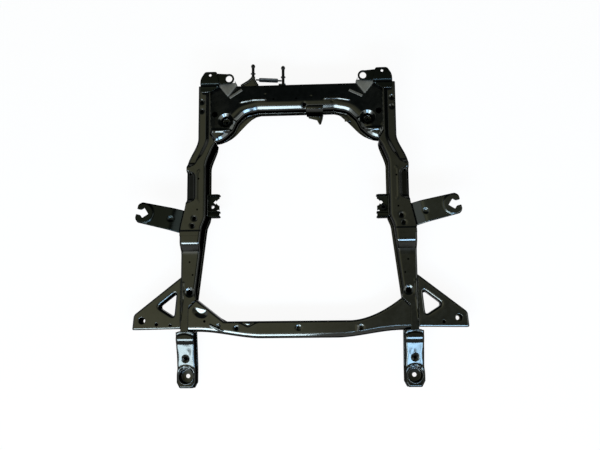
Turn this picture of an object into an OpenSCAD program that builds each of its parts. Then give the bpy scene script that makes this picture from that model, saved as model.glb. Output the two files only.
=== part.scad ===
// Front subframe (engine cradle) of a passenger car: welded sheet steel stampings
// that form a closed ring, with outrigger brackets, mounting cups and hanger rods.
// X runs across the car, Y runs to the rear crossmember, Z is up. Millimetres.

/* [Overall] */
// Width over the tips of the two ears
cradle_w = 1010; // [940:1:1080]
// Length from the arm tips to the tip of the longer hanger rod
cradle_l = 996; // [950:1:1040]
// Sheet thickness of the stampings
sheet_t = 2.5; // [2:0.1:3.5]
// Gap left in a welded seam
weld_gap = 0.2; // [0.1:0.05:0.4]

/* [Heights] */
// Top of the rear rails and of the rear crossmember
rear_top = 100; // [90:1:110]
// Top of the front rails and of the front beam
front_top = 72; // [64:1:80]
// Seam between the upper and lower rail stampings
seam_z = 30; // [24:1:36]
// Depth of the lower rail pan under that seam
pan_d = 18; // [10:1:22]

/* [Rails] */
// Clear width between the rails beside the rear crossmember
rear_gap = 530; // [516:1:544]
// Clear width between the rails at the crossmember's feet
arch_gap = 500; // [488:1:512]
// Clear width between the rails at the side brackets
mid_gap = 544; // [534:1:556]
// Width of a rail at the joggle, without its taper
joggle_rail_w = 73; // [66:1:77]
// Width of a rail behind the front beam
front_rail_w = 48; // [44:1:54]
// Width of a rail beside the rear crossmember
rear_rail_w = 40; // [36:1:46]
// Width of a rail at the side brackets
mid_rail_w = 66; // [60:1:72]
// Width over the outer faces of the front rails
front_out_w = 714; // [704:1:730]
// Width of a rail's neck beside the front beam
neck_w = 25; // [22:1:30]
// Inner weld flange of a rail
flange_w = 6; // [4:0.5:9]
// Radius of the rails' top edges
edge_r = 8; // [5:0.5:10]
// Width of the stepped ledge on a rear rail's outer edge
ledge_w = 24; // [20:1:26]
// Depth of that ledge
ledge_d = 10; // [6:0.5:14]
// Length of the ramp where the rail steps down
joggle_l = 40; // [30:1:50]
// Inset of the lower pan from the edges of a rail
pan_inset = 8; // [5:0.5:9]

/* [Rear crossmember] */
// Depth of the crossmember, front to rear
cross_d = 84; // [76:1:92]
// Height of its seam above the ground
cross_seam_z = 60; // [50:1:70]
// Width of its straight middle
cross_straight = 230; // [180:1:280]
// How far each end of it sweeps forward along the rail
arch_d = 96; // [80:1:116]
// Depth of the flat crest along its front edge
crest_d = 25; // [18:1:32]
// Drop of its top from the crest to the rear edge
rear_drop = 12; // [6:1:20]
// Front lip at the crossmember's seam
lip_w = 5; // [3:0.5:7]
// Extra width of that lip on the arch's two shoulders
shoulder_w = 4.5; // [2:0.5:6]
// Radius of the round well in each rear corner
well_r = 24; // [18:1:28]
// Depth of that well
well_d = 26; // [16:1:32]

/* [Front beam and ears] */
// Depth of the front beam beside the arms
beam_d = 31; // [26:1:40]
// Forward bulge of the beam's middle
beam_bulge = 21; // [14:1:30]
// How far each beam corner runs back along the rail
corner_d = 66; // [56:1:80]
// Reach of the straight left beam corner along the beam
left_corner_w = 84; // [70:1:110]
// Reach of the curved right beam corner along the beam
right_corner_w = 155; // [120:1:170]
// Radius of the dished recess in the left corner
bowl_r = 21; // [16:1:24]
// Depth of that recess
bowl_d = 14; // [8:1:18]
// Length of an ear along its rail
ear_l = 156; // [140:1:176]
// Length of an ear's outer end
ear_tip_l = 43; // [36:1:54]
// Height of an ear's box
ear_h = 44; // [34:1:50]
// Radius of the access hole near an ear's tip
ear_hole_r = 10; // [8:0.5:12]
// Radius of the bolt hole under it
ear_bolt_r = 6.5; // [5:0.25:8]

/* [Front arms] */
// Length of an arm in front of the rail
arm_l = 168; // [158:1:180]
// Width of an arm
arm_w = 56; // [50:1:58]
// Height of the pad at an arm's end
pad_z = 38; // [34:1:44]
// Distance of a mounting cup's middle inside its rail's outer face
cup_inset = 13; // [10:1:17]
// Inner radius of a mounting cup
cup_r = 21.5; // [18:0.5:23]
// Radius of the bolt hole in a cup's floor
cup_hole_r = 6.5; // [5:0.25:8]

/* [Side claws and brackets] */
// Length of a claw bracket from its rail
claw_l = 152; // [135:1:165]
// Width of a claw bracket
claw_w = 64; // [56:1:72]
// Rearward turn of a claw bracket, in degrees
claw_turn = 13; // [8:1:18]
// Rise of a claw's plate above its foot
claw_rise = 20; // [12:1:26]
// Width across the flats of the claw's open slot
slot_w = 22; // [18:1:26]
// How far the left claw stands in front of the middle of the pair, and the right one behind it
claw_skew = 5.5; // [0:0.5:8]
// Length of a side bracket along the rail
side_l = 70; // [60:1:80]
// How far the left side bracket stands behind the middle of the pair, and the right one in front of it
side_skew = 4.5; // [0:0.5:8]
// Reach of a side bracket from the rail's inner wall
side_reach = 38; // [32:1:46]

/* [Rear mounts and hangers] */
// Rise of the rear mount plates above the rails
plate_rise = 15; // [10:1:20]
// Distance between the bolt holes of the ring tabs
ring_spacing = 412; // [400:1:424]
// Radius of the bolt hole in a ring tab
ring_hole_r = 10; // [7:0.5:11]
// Reach of the longer hanger rod behind the crossmember
hanger_reach = 70; // [58:1:80]
// Radius of the hanger rods
rod_r = 4.5; // [3.5:0.25:5.5]
// Radius of the damper sleeve between the rods
sleeve_r = 6.5; // [5:0.25:8]

/* [Hidden] */
$fn = 48;
paint = "#1d1f1d";
steel = "#2c2d2b";
cut_over = 1;
// Foot left on a rail's inner wall where it has no flange, and the width of a ledge's step
foot_w = 0.5;
step_w = 4;

// Lines across the car, from front to rear
tip_y = -cradle_l / 2;
rail_front_y = tip_y + arm_l;
rear_edge_y = cradle_l / 2 - hanger_reach;
// Lines along the rails: distances from their front end on rails 758 long, which stretch with the rails
base_rail_l = 758;
function rail_line(d) = rail_front_y + d * (rear_edge_y - rail_front_y) / base_rail_l;
cup_y = tip_y + 35;
beam_rear_y = rail_front_y + beam_d;
jog_y = beam_rear_y + corner_d;
jog_l = 24;
joggle_y = rail_line(277);
rail_split_y = joggle_y + 10;
cross_front_y = rear_edge_y - cross_d;
arch_y = cross_front_y - arch_d - 3 * weld_gap - foot_w;
flare_start_y = rail_line(499);
flare_end_y = arch_y + jog_l * 0.63;
claw_y = rail_line(334);
side_y = rail_line(378.5);
pocket_front_y = rail_line(387);
pocket_rear_y = rail_line(492);
ledge_end_y = rail_line(499);
fade_l = 14;
// Where the rails narrow to their neck at the joggle, and where their outer edge stops tapering
taper_start_y = joggle_y + 30;
taper_end_y = joggle_y + 70;
taper_out_y = joggle_y + 130;
// Radii of drain holes, tooling holes and the holes of the ledges
drain_r = 3;
tooling_r = 6;
ledge_hole_r = 4;

// Half widths of the rails' edges, measured from the middle of the car
rear_in = rear_gap / 2;
arch_in = arch_gap / 2;
mid_in = mid_gap / 2;
front_out = front_out_w / 2;
joggle_in = front_out - joggle_rail_w;
front_in = front_out - front_rail_w;
rear_out = rear_in + rear_rail_w;
mid_out = mid_in + mid_rail_w;
neck_in = front_out - neck_w;

// Helpers

function lerp(a, b, t) = a + (b - a) * t;
function clamp01(t) = min(1, max(0, t));
// Smooth change from 0 at a to 1 at b
function ease(v, a, b) = let (t = clamp01((v - a) / (b - a))) t * t * (3 - 2 * t);
// n values from a towards b, without b
function steps(a, b, n) = [for (i = [0:n - 1]) lerp(a, b, i / n)];
function unit(v) = v / norm(v);
function right_of(d) = [d.y, -d.x];

// A corner p between a and b, replaced by a curve that starts r before it
function corner(a, p, b, r, n) =
    let (u = unit(a - p), v = unit(b - p), d = min(r, norm(a - p) * 0.48, norm(b - p) * 0.48))
    [for (k = [0:n]) let (t = k / n) (p + u * d) * (1 - t) * (1 - t) + p * 2 * t * (1 - t) + (p + v * d) * t * t];
function rounded(path, radii, n) =
    [for (i = [0:len(path) - 1]) each radii[i] == 0 ? [path[i]]
        : corner(path[i - 1], path[i], path[i + 1], radii[i], n)];

// Outline of a bent sheet: its outer face is the path, and the metal lies to the path's right
function miter(path, i) =
    let (a = i == 0 ? undef : right_of(unit(path[i] - path[i - 1])),
         b = i == len(path) - 1 ? undef : right_of(unit(path[i + 1] - path[i])))
    is_undef(a) ? b : is_undef(b) ? a : (a + b) / (1 + a * b);
function bent_sheet(path, t) =
    concat(path, [for (i = [len(path) - 1:-1:0]) path[i] + miter(path, i) * t]);

// Solid stretched over the rings of a bent sheet. Each end is closed by a strip of triangles
// between the ring's outer path and its inner path.
module loft(rings) {
    n = len(rings[0]);
    last = (len(rings) - 1) * n;
    sides = [for (j = [0:len(rings) - 2]) for (i = [0:n - 1])
        let (a = j * n + i, b = j * n + (i + 1) % n) each [[a, a + n, b + n], [a, b + n, b]]];
    front_end = [for (i = [0:n / 2 - 2]) each [[i, i + 1, n - 2 - i], [i, n - 2 - i, n - 1 - i]]];
    rear_end = [for (f = front_end) [f[2] + last, f[1] + last, f[0] + last]];
    polyhedron([for (r = rings) each r], concat(front_end, sides, rear_end));
}

// Sheet whose section in X and Z changes along Y, and one whose section in Y and Z changes along X
module loft_along_y(ys, sections) {
    loft([for (k = [0:len(ys) - 1]) [for (p = sections[k]) [p.x, ys[k], p.y]]]);
}
module loft_along_x(xs, sections) {
    loft([for (k = [0:len(xs) - 1]) [for (p = sections[k]) [xs[k], -p.x, p.y]]]);
}

// Flat plate between two heights
module slab(z0, z1) {
    translate([0, 0, z0]) linear_extrude(z1 - z0) children();
}
module round_corners(r) {
    offset(r) offset(delta = -r) children();
}
module hole(x, y, r) {
    translate([x, y, -cut_over]) cylinder(h = rear_top + plate_rise + 20, r = r);
}
module left_side() {
    mirror([1, 0, 0]) children();
}
module shift_y(d) {
    translate([0, d, 0]) children();
}

// Side rails

function rail_in(y) =
    y > arch_y ? lerp(arch_in, rear_in, clamp01((y - arch_y) / jog_l))
    : y > taper_end_y ? lerp(mid_in, arch_in, ease(y, flare_start_y, arch_y))
    : y > taper_start_y ? lerp(joggle_in, mid_in, ease(y, taper_start_y, taper_end_y))
    : y > jog_y ? lerp(front_in, joggle_in, (y - jog_y) / (taper_start_y - jog_y))
    : lerp(neck_in, front_in, clamp01((y - jog_y + jog_l) / jog_l));
function rail_out(y) =
    y > taper_out_y ? lerp(mid_out, rear_out, ease(y, flare_start_y, flare_end_y))
    : lerp(front_out, mid_out, ease(y, rail_split_y, taper_out_y));
function rail_flange(y) =
    foot_w + (flange_w - foot_w) * ease(y, jog_y + 2, jog_y + 26) * (1 - ease(y, arch_y - 24, arch_y));
function rail_top(y) = lerp(front_top, rear_top, ease(y, joggle_y - joggle_l, joggle_y));
function ledge_at(y) =
    ledge_d * (ease(y, ledge_end_y, ledge_end_y + fade_l)
        + 0.8 * ease(y, pocket_front_y, pocket_front_y + fade_l)
        * (1 - ease(y, pocket_rear_y - fade_l, pocket_rear_y)));

function rear_rail_section(y) =
    let (xi = rail_in(y), xw = xi + rail_flange(y), xo = rail_out(y), zt = rail_top(y), d = ledge_at(y))
    bent_sheet(rounded([[xi, seam_z + sheet_t], [xw, seam_z + sheet_t], [xw, zt],
        [xo - ledge_w - step_w, zt], [xo - ledge_w, zt - d], [xo, zt - d], [xo, seam_z]],
        [0, 0, edge_r, 0, 0, edge_r, 0], 3), sheet_t);
function front_rail_section(y) =
    let (xi = rail_in(y), xw = xi + rail_flange(y), xo = rail_out(y), zt = rail_top(y))
    bent_sheet(rounded([[xi, seam_z + sheet_t], [xw, seam_z + sheet_t], [xw, zt], [xo, zt], [xo, seam_z]],
        [0, 0, edge_r, edge_r, 0], 3), sheet_t);

rear_rail_ys = concat([rail_split_y + weld_gap],
    steps(taper_start_y, taper_end_y, 4), steps(taper_end_y, pocket_front_y, 2),
    steps(pocket_front_y, pocket_front_y + fade_l, 3),
    steps(pocket_front_y + fade_l, pocket_rear_y - fade_l, 2),
    steps(pocket_rear_y - fade_l, pocket_rear_y, 3), [pocket_rear_y],
    steps(ledge_end_y, ledge_end_y + fade_l, 3), steps(ledge_end_y + fade_l, arch_y, 4),
    [arch_y, flare_end_y, arch_y + jog_l, rear_edge_y]);
front_rail_ys = concat([rail_front_y], steps(jog_y - jog_l, jog_y, 1), steps(jog_y, jog_y + 26, 4),
    steps(jog_y + 26, joggle_y - joggle_l, 3), steps(joggle_y - joggle_l, joggle_y, 6), [joggle_y, rail_split_y]);
rail_ys = concat(front_rail_ys, rear_rail_ys);

module rear_rail_upper() {
    difference() {
        loft_along_y(rear_rail_ys, [for (y = rear_rail_ys) rear_rail_section(y)]);
        for (y = [rear_edge_y - 50, rear_edge_y - 79]) hole(rear_out - ledge_w / 2, y, ledge_hole_r);
        hole(mid_out - ledge_w / 2, pocket_rear_y - fade_l, ledge_hole_r);
        hole(mid_out - 26, joggle_y + 63, tooling_r);
        hole(mid_out - 20, joggle_y + 41, tooling_r);
        hole(mid_out - 35, joggle_y + 90, drain_r);
        hole(mid_out - 38, joggle_y + 185, drain_r);
    }
}
module front_rail_upper() {
    difference() {
        loft_along_y(front_rail_ys, [for (y = front_rail_ys) front_rail_section(y)]);
        hole(front_out - 28, jog_y + 21, 9);
        hole(front_out - 27, jog_y + 113, drain_r);
        hole(front_out - 37, jog_y + 74, drain_r);
    }
}
module rail_plan(inset) {
    polygon(concat([for (y = rail_ys) [rail_in(y) + inset, y]],
        [for (k = [len(rail_ys) - 1:-1:0]) [rail_out(rail_ys[k]) - inset, rail_ys[k]]]));
}
module rail_lower() {
    difference() {
        union() {
            slab(seam_z - sheet_t, seam_z) rail_plan(0);
            slab(seam_z - pan_d, seam_z) rail_plan(pan_inset);
        }
        intersection() {
            slab(seam_z - pan_d + sheet_t, seam_z + cut_over) rail_plan(pan_inset + sheet_t);
            translate([0, rail_front_y + sheet_t, 0])
                cube([cradle_w, rear_edge_y - rail_front_y - 2 * sheet_t, rear_top]);
        }
    }
}

// Rear crossmember

cross_half = rear_in - weld_gap;
well_x = arch_in - 32;
well_y = cross_front_y - 30;
corner_hole_x = arch_in + 2;
corner_hole_y = cross_front_y - 10;
corner_hole_r = 9;
cross_xs_half = concat(steps(0, cross_straight / 2, 2),
    steps(cross_straight / 2, arch_in, 9), [arch_in, cross_half]);
cross_xs = concat([for (i = [len(cross_xs_half) - 1:-1:1]) -cross_xs_half[i]], cross_xs_half);

function cross_front(x) =
    abs(x) <= arch_in ? cross_front_y - arch_d * ease(abs(x), cross_straight / 2, arch_in)
    : cross_front_y - arch_d + jog_l * (abs(x) - arch_in) / (rear_in - arch_in);
function cross_lip(x) = foot_w + (lip_w - foot_w) * (1 - ease(abs(x), arch_in - 40, arch_in - 8))
    + shoulder_w * ease(abs(x), cross_straight / 2 + 8, cross_straight / 2 + 36)
        * (1 - ease(abs(x), arch_in - 55, arch_in - 20));
function cross_upper_section(x) =
    let (yf = cross_front(x), yr = rear_edge_y, zs = cross_seam_z + sheet_t, zr = rear_top - rear_drop)
    bent_sheet(rounded([[-yr, cross_seam_z], [-yr, zr], [-yf - crest_d, rear_top], [-yf, rear_top],
        [-yf, zs], [-yf + cross_lip(x), zs]], [0, 10, 10, 12, 0, 0], 3), sheet_t);
// Chamfers along the bottom of the lower half, which rises towards the rails
keel = 26;
keel_z = 30;
keel_rise = cross_seam_z - 2 * sheet_t - keel_z;
function cross_lower_section(x) =
    let (yf = cross_front(x), yr = rear_edge_y, zs = cross_seam_z - sheet_t,
         rise = keel_rise * ease(abs(x), arch_in - 70, arch_in))
    bent_sheet([[-yf + cross_lip(x), zs], [-yf, zs], [-yf, keel_z + rise], [-yf - keel, 1.2 * rise],
        [-yr + keel, 1.2 * rise], [-yr, keel_z + rise], [-yr, cross_seam_z]], sheet_t);

// Height of the sloping top behind the crest
function cross_top_z(x, y) =
    rear_top - rear_drop * clamp01((y - cross_front(x) - crest_d) / (rear_edge_y - cross_front(x) - crest_d));

// Everything under the crossmember's top and behind its front wall, grown by some clearance
module cross_fill(clear) {
    loft_along_x(cross_xs, [for (x = cross_xs)
        let (path = [[-rear_edge_y - cut_over, rear_top - rear_drop + clear],
                [-cross_front(x) - crest_d, rear_top + clear], [-cross_front(x) + clear, rear_top + clear]])
        concat(path, [for (i = [2:-1:0]) [path[i].x, 0]])]);
}
module well_cup(x, y, z) {
    intersection() {
        translate([x, y, z - well_d]) difference() {
            cylinder(h = rear_top, r = well_r);
            translate([0, 0, sheet_t]) cylinder(h = rear_top, r = well_r - sheet_t);
            translate([0, 0, -cut_over]) cylinder(h = well_d, r = ledge_hole_r);
        }
        cross_fill(-sheet_t / 2);
    }
}
module rear_crossmember_upper() {
    well_z = cross_top_z(well_x, well_y + well_r);
    color(paint) {
        difference() {
            loft_along_x(cross_xs, [for (x = cross_xs) cross_upper_section(x)]);
            for (side = [-1, 1]) {
                hole(side * well_x, well_y, well_r - sheet_t / 2);
                hole(side * corner_hole_x, corner_hole_y, corner_hole_r);
            }
            hole(25, cross_front_y + 14, tooling_r);
            for (x = [-70, 0]) hole(x, cross_front_y + 34, drain_r);
        }
        for (side = [-1, 1]) well_cup(side * well_x, well_y, well_z);
    }
}
module rear_crossmember_lower() {
    color(paint) loft_along_x(cross_xs, [for (x = cross_xs) cross_lower_section(x)]);
}

// Front beam

beam_half = neck_in - weld_gap;
beam_end_y = rail_front_y;
beam_slant_d = 15;
beam_slant_h = 24;
bowl_x = -(front_in - 8);
bowl_y = jog_y - 30;
beam_xs_half = concat(steps(0, beam_half * 0.36, 2), steps(beam_half * 0.36, front_in - 30, 8),
    steps(front_in - 30, front_in, 2), [front_in, beam_half]);
beam_xs = concat([for (i = [len(beam_xs_half) - 1:-1:1]) -beam_xs_half[i]], beam_xs_half);

function beam_corner(x) =
    x < 0 ? clamp01((-x - front_in + left_corner_w) / left_corner_w)
    : pow(clamp01((x - front_in + right_corner_w) / right_corner_w), 1.8);
function beam_rear(x) =
    abs(x) <= front_in ? beam_rear_y + corner_d * beam_corner(x) - 3 * weld_gap
    : jog_y - jog_l * (abs(x) - front_in) / (neck_in - front_in) - 3 * weld_gap;
function beam_front(x) = beam_end_y - beam_bulge * (1 - ease(abs(x), front_in * 0.36, front_in));
function beam_section(x) =
    let (yf = beam_front(x), yr = beam_rear(x))
    bent_sheet(rounded([[-yr, seam_z], [-yr, front_top], [-yf - beam_slant_d, front_top],
        [-yf, front_top - beam_slant_h], [-yf, seam_z]], [0, edge_r, 10, 8, 0], 3), sheet_t);

module bowl() {
    ball_r = (bowl_r * bowl_r + bowl_d * bowl_d) / (2 * bowl_d);
    translate([bowl_x, bowl_y, front_top - bowl_d + ball_r]) intersection() {
        difference() {
            sphere(ball_r + sheet_t);
            sphere(ball_r);
        }
        translate([0, 0, -ball_r - sheet_t]) cylinder(h = bowl_d, r = bowl_r + sheet_t);
    }
}
module front_beam_upper() {
    color(paint) {
        difference() {
            loft_along_x(beam_xs, [for (x = beam_xs) beam_section(x)]);
            translate([bowl_x, bowl_y, front_top - sheet_t - cut_over])
                cylinder(h = sheet_t + 2 * cut_over, r = bowl_r);
            for (x = [-186, 0, 186]) hole(x, beam_rear_y - 22, tooling_r);
            hole(-front_in + 26, beam_rear_y, ledge_hole_r);
        }
        bowl();
    }
}
module front_beam_lower() {
    color(paint) slab(seam_z - sheet_t, seam_z - weld_gap)
        polygon(concat([for (x = beam_xs) [x, beam_front(x)]],
            [for (k = [len(beam_xs) - 1:-1:0]) [beam_xs[k], beam_rear(beam_xs[k])]]));
}

// Ears

ear_top_z = front_top - 6;
ear_bottom_z = ear_top_z - ear_h;
ear_front_y = rail_front_y + 9;
ear_root_x = front_out + weld_gap;
ear_tip_x = cradle_w / 2;
ear_hole_x = ear_tip_x - 30;
ear_hole_y = ear_front_y + 26;
window_r = 8;
// Place across an ear, as a share of the way from its root to its tip
function ear_at(share) = lerp(ear_root_x, ear_tip_x, share);

module ear_outline(over) {
    polygon([[ear_root_x - over, ear_front_y], [ear_tip_x, ear_front_y - 2], [ear_tip_x - 4, ear_front_y + ear_tip_l],
        [ear_root_x + 8, ear_front_y + ear_l - 6], [ear_root_x - over, ear_front_y + ear_l]]);
}
module ear_window() {
    round_corners(window_r) polygon([[ear_at(0.088), ear_front_y + 113], [ear_at(0.135), ear_front_y + 34],
        [ear_at(0.487), ear_front_y + 67]]);
}
// Upper half of an ear's box, open below. The left one has a slot for a clip.
module ear_upper(slotted) {
    difference() {
        union() {
            difference() {
                slab(ear_bottom_z, ear_top_z) ear_outline(0);
                slab(ear_bottom_z - cut_over, ear_top_z - sheet_t) offset(delta = -sheet_t) ear_outline(2 * sheet_t);
            }
            slab(ear_bottom_z, ear_top_z - sheet_t / 2) offset(delta = sheet_t) ear_window();
        }
        slab(0, rear_top) ear_window();
        hole(ear_hole_x, ear_hole_y, ear_hole_r);
        hole(ear_at(0.4926), ear_front_y + 14, 5);
        if (slotted) translate([ear_at(0.176), ear_front_y + 8, 0]) cube([9, 6, rear_top]);
    }
}
module ear_lower() {
    slab(ear_bottom_z - weld_gap - sheet_t, ear_bottom_z - weld_gap) difference() {
        ear_outline(0);
        ear_window();
        translate([ear_hole_x, ear_hole_y]) circle(ear_bolt_r);
    }
}

// Front arms and mounting cups

cup_x = front_out - cup_inset;
cup_wall = 3;
cup_rim_z = pad_z + 3;
cup_floor = 4;
arm_top_z = front_top - 1;
arm_shift = -1;
arm_flange = 3;
arm_seat_y = rail_front_y - weld_gap;
arm_foot_z = 8;
slope_end_y = cup_y + 27;
pad_w = 58;
arm_ys = [tip_y, tip_y + 17, cup_y, slope_end_y - 8, slope_end_y, slope_end_y + 8, slope_end_y + 40,
    arm_seat_y - 28, arm_seat_y - 20, arm_seat_y - 12, arm_seat_y - 8, arm_seat_y];

// Middle of the arm, which stands a little outside its cup
function arm_mid(y) = cup_x + arm_shift * ease(y, cup_y, slope_end_y);
function arm_half(y) =
    y > cup_y ? lerp(pad_w, arm_w, ease(y, cup_y, slope_end_y)) / 2
    : lerp(pad_w - 18, pad_w, clamp01((y - tip_y) / 17)) / 2;
function arm_top(y) =
    lerp(pad_z, arm_top_z - 8, clamp01((y - slope_end_y) / (arm_seat_y - 28 - slope_end_y)))
    + 8 * ease(y, arm_seat_y - 28, arm_seat_y - 12);
function arm_foot(y) = lerp(arm_foot_z, seam_z + sheet_t, clamp01((y - slope_end_y) / (arm_seat_y - slope_end_y)));
function arm_section(y) =
    let (w = arm_half(y), zt = arm_top(y), zb = arm_foot(y) + sheet_t)
    bent_sheet([for (p = rounded([[-w - arm_flange, zb], [-w, zb], [-w, zt], [w, zt], [w, zb], [w + arm_flange, zb]],
        [0, 0, 5, 5, 0, 0], 3)) p + [arm_mid(y), 0]], sheet_t);

module front_arm_upper() {
    end_half = arm_half(tip_y) - sheet_t / 5;
    difference() {
        union() {
            loft_along_y(arm_ys, [for (y = arm_ys) arm_section(y)]);
            translate([arm_mid(tip_y) - end_half, tip_y, arm_foot_z]) cube([2 * end_half, sheet_t, pad_z - arm_foot_z - 2]);
        }
        translate([cup_x, cup_y, 0]) cylinder(h = rear_top, r = cup_r + cup_wall + weld_gap);
        hole(cup_x, cup_y + 53, tooling_r);
    }
}
module front_arm_lower() {
    zb = arm_foot_z - weld_gap;
    difference() {
        intersection() {
            translate([cup_x - pad_w, 0, 0]) rotate([90, 0, 90]) linear_extrude(2 * pad_w)
                polygon(bent_sheet([[tip_y, zb], [slope_end_y, zb], [arm_seat_y, seam_z + sheet_t - weld_gap]], sheet_t));
            slab(0, rear_top) polygon(concat([for (y = arm_ys) [arm_mid(y) - arm_half(y) - arm_flange, y]],
                [for (k = [len(arm_ys) - 1:-1:0])
                    [arm_mid(arm_ys[k]) + arm_half(arm_ys[k]) + arm_flange, arm_ys[k]]]));
        }
        translate([cup_x, cup_y, -cut_over]) cylinder(h = rear_top, r = cup_r + cup_wall + weld_gap);
    }
}
module mount_cup() {
    translate([cup_x, cup_y, 0]) rotate_extrude() polygon([[cup_hole_r, 0], [cup_r + cup_wall - 4, 0],
        [cup_r + cup_wall, 4], [cup_r + cup_wall, cup_rim_z], [cup_r, cup_rim_z], [cup_r, cup_floor + 2],
        [cup_r - 2, cup_floor], [cup_hole_r, cup_floor]]);
}

// Claw brackets

claw_t = 4;
claw_foot_z = rear_top - 12;
claw_plate_z = claw_foot_z + claw_rise;
slot_u = claw_l - 21;
jaw_r = claw_w / 2 - 1;
jaw_step = 3;

module claw_place(skew) {
    translate([mid_out, claw_y + skew, 0]) rotate([0, 0, claw_turn]) children();
}
module claw_outline() {
    round_corners(10) polygon([[-40, -claw_w / 2 - 3], [claw_l - 8, -claw_w / 2], [claw_l, -claw_w / 2 + 10],
        [claw_l, claw_w / 2 - 10], [claw_l - 8, claw_w / 2], [-40, claw_w / 2 + 3]]);
}
module claw_slot() {
    translate([slot_u, 0]) {
        rotate(45) square(slot_w, center = true);
        translate([0, -slot_w * 0.36]) square([claw_l, slot_w * 0.72]);
    }
}
module claw_bracket(skew) {
    skirt_h = 12;
    difference() {
        claw_place(skew) difference() {
            union() {
                intersection() {
                    translate([0, claw_w, 0]) rotate([90, 0, 0]) linear_extrude(2 * claw_w)
                        polygon(bent_sheet([[-40, claw_foot_z], [14, claw_foot_z], [38, claw_plate_z],
                            [claw_l, claw_plate_z]], claw_t));
                    slab(0, 2 * rear_top) claw_outline();
                }
                slab(claw_plate_z - claw_t + jaw_step, claw_plate_z + jaw_step) intersection() {
                    claw_outline();
                    translate([slot_u, 0]) circle(jaw_r);
                }
                slab(claw_plate_z - skirt_h, claw_plate_z - claw_t / 2) intersection() {
                    difference() {
                        claw_outline();
                        offset(delta = -claw_t) claw_outline();
                    }
                    translate([38, -claw_w]) square([slot_u - 38 - jaw_r / 2, 2 * claw_w]);
                }
            }
            slab(0, 2 * rear_top) claw_slot();
            translate([46, 0, claw_plate_z - claw_t / 2]) cylinder(h = claw_t, r = tooling_r);
        }
        slab(0, 2 * rear_top) offset(delta = weld_gap) rail_plan(0);
    }
}

// Side brackets on the rails' inner walls

side_wall_x = mid_in + flange_w - weld_gap;
side_t = 4;
side_z0 = seam_z + 8;
side_z1 = rear_top - 26;
side_in_x = side_wall_x - side_reach;
web_z = side_z1 - 14;
bolt_x = side_wall_x - side_reach * 0.45;
bolt_y = side_y - 4;

// Upright cheek plate that starts at y
module side_cheek(y) {
    translate([0, y + side_t, 0]) rotate([90, 0, 0]) linear_extrude(side_t)
        polygon([[side_in_x + 6, side_z0], [side_wall_x, side_z0], [side_wall_x, side_z1], [side_in_x + 6, side_z1],
            [side_in_x, side_z1 - 8], [side_in_x, side_z0 + 8]]);
}
module side_web() {
    difference() {
        translate([side_in_x + 2, side_y - side_l / 2]) square([side_reach - 2, side_l]);
        translate([side_in_x, side_y + 12]) circle(11);
        translate([side_in_x + 14, side_y + 12]) rotate(45) square(9, center = true);
        translate([side_in_x + 6, side_y - 16]) circle(4.5);
        translate([bolt_x, bolt_y]) circle(5.2);
    }
}
module side_bracket() {
    slab(web_z - side_t, web_z) side_web();
    translate([side_wall_x - side_t, side_y - side_l / 2, side_z0]) cube([side_t, side_l, side_z1 - side_z0]);
    for (y = [-side_l / 2, 14 - side_l / 2, side_l / 2 - side_t]) side_cheek(side_y + y);
}
module side_bracket_nut() {
    translate([bolt_x, bolt_y, web_z + weld_gap / 2]) difference() {
        union() {
            cylinder(h = 2.5, r = 11);
            cylinder(h = 11, r = 9.2, $fn = 6);
        }
        translate([0, 0, -cut_over]) cylinder(h = 14, r = 5.2);
    }
}

// Rear mount plates, ring tabs and corner gussets

plate_t = 3;
plate_z = rear_top + plate_rise;
ring_x = ring_spacing / 2;
ring_y = rear_edge_y + 14;
tab_t = 4;

module rear_mount_plate() {
    plate_back = rear_edge_y + 37;
    difference() {
        intersection() {
            rotate([90, 0, 90]) linear_extrude(cradle_w / 2)
                polygon(bent_sheet([[rear_edge_y - 24, rear_top + plate_t + weld_gap],
                    [rear_edge_y - 14, rear_top + plate_t + weld_gap],
                    [rear_edge_y + 1, plate_z], [plate_back, plate_z]], plate_t));
            slab(0, 2 * rear_top) polygon([[rear_in + 2, rear_edge_y - 24], [rear_out - 9, rear_edge_y - 24],
                [rear_out - 11, rear_edge_y + 15], [rear_out - 25, plate_back], [ring_x + 38, plate_back],
                [ring_x + 28, rear_edge_y + 4]]);
        }
        hole(rear_out - 41, rear_edge_y + 26, drain_r + 1);
    }
}
module ring_tab() {
    ring_r = ring_hole_r + 6;
    difference() {
        slab(plate_z - plate_t - tab_t, plate_z - plate_t - weld_gap / 2) union() {
            hull() {
                translate([ring_x, ring_y]) circle(ring_r, $fn = 32);
                translate([ring_x + 36, rear_edge_y + 8]) square([15, 24]);
            }
            polygon([[ring_x + 8, rear_edge_y - 3], [ring_x + 30, rear_edge_y - 3], [ring_x + 29, rear_edge_y + 1],
                [ring_x + 36, rear_edge_y + 8], [ring_x + 36, rear_edge_y + 14], [ring_x + 8, rear_edge_y + 14]]);
        }
        hole(ring_x, ring_y, ring_hole_r);
    }
}
module gusset_plan() {
    polygon([[ring_x + 30, rear_edge_y - 1], [ring_x + 27, rear_edge_y + 7], [ring_x - 21, rear_edge_y + 5],
        [ring_x - 23, rear_edge_y - 1], [ring_x + 5, rear_edge_y - 39]]);
}
// Cap with turned-down edges that stands on the crossmember's top
module corner_gusset() {
    gusset_t = 3;
    top_z = rear_top - 1;
    difference() {
        slab(cross_seam_z, top_z) gusset_plan();
        slab(0, top_z - gusset_t) offset(delta = -gusset_t) gusset_plan();
        cross_fill(2 * weld_gap);
    }
}

// Brackets on the crossmember's front and rear walls

hanger_z = cross_seam_z + 18;
wall_y = rear_edge_y + weld_gap;
long_rod_x = -135;
short_rod_x = -41;
hub_y = rear_edge_y + 24;
hub_l = 6;

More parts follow.
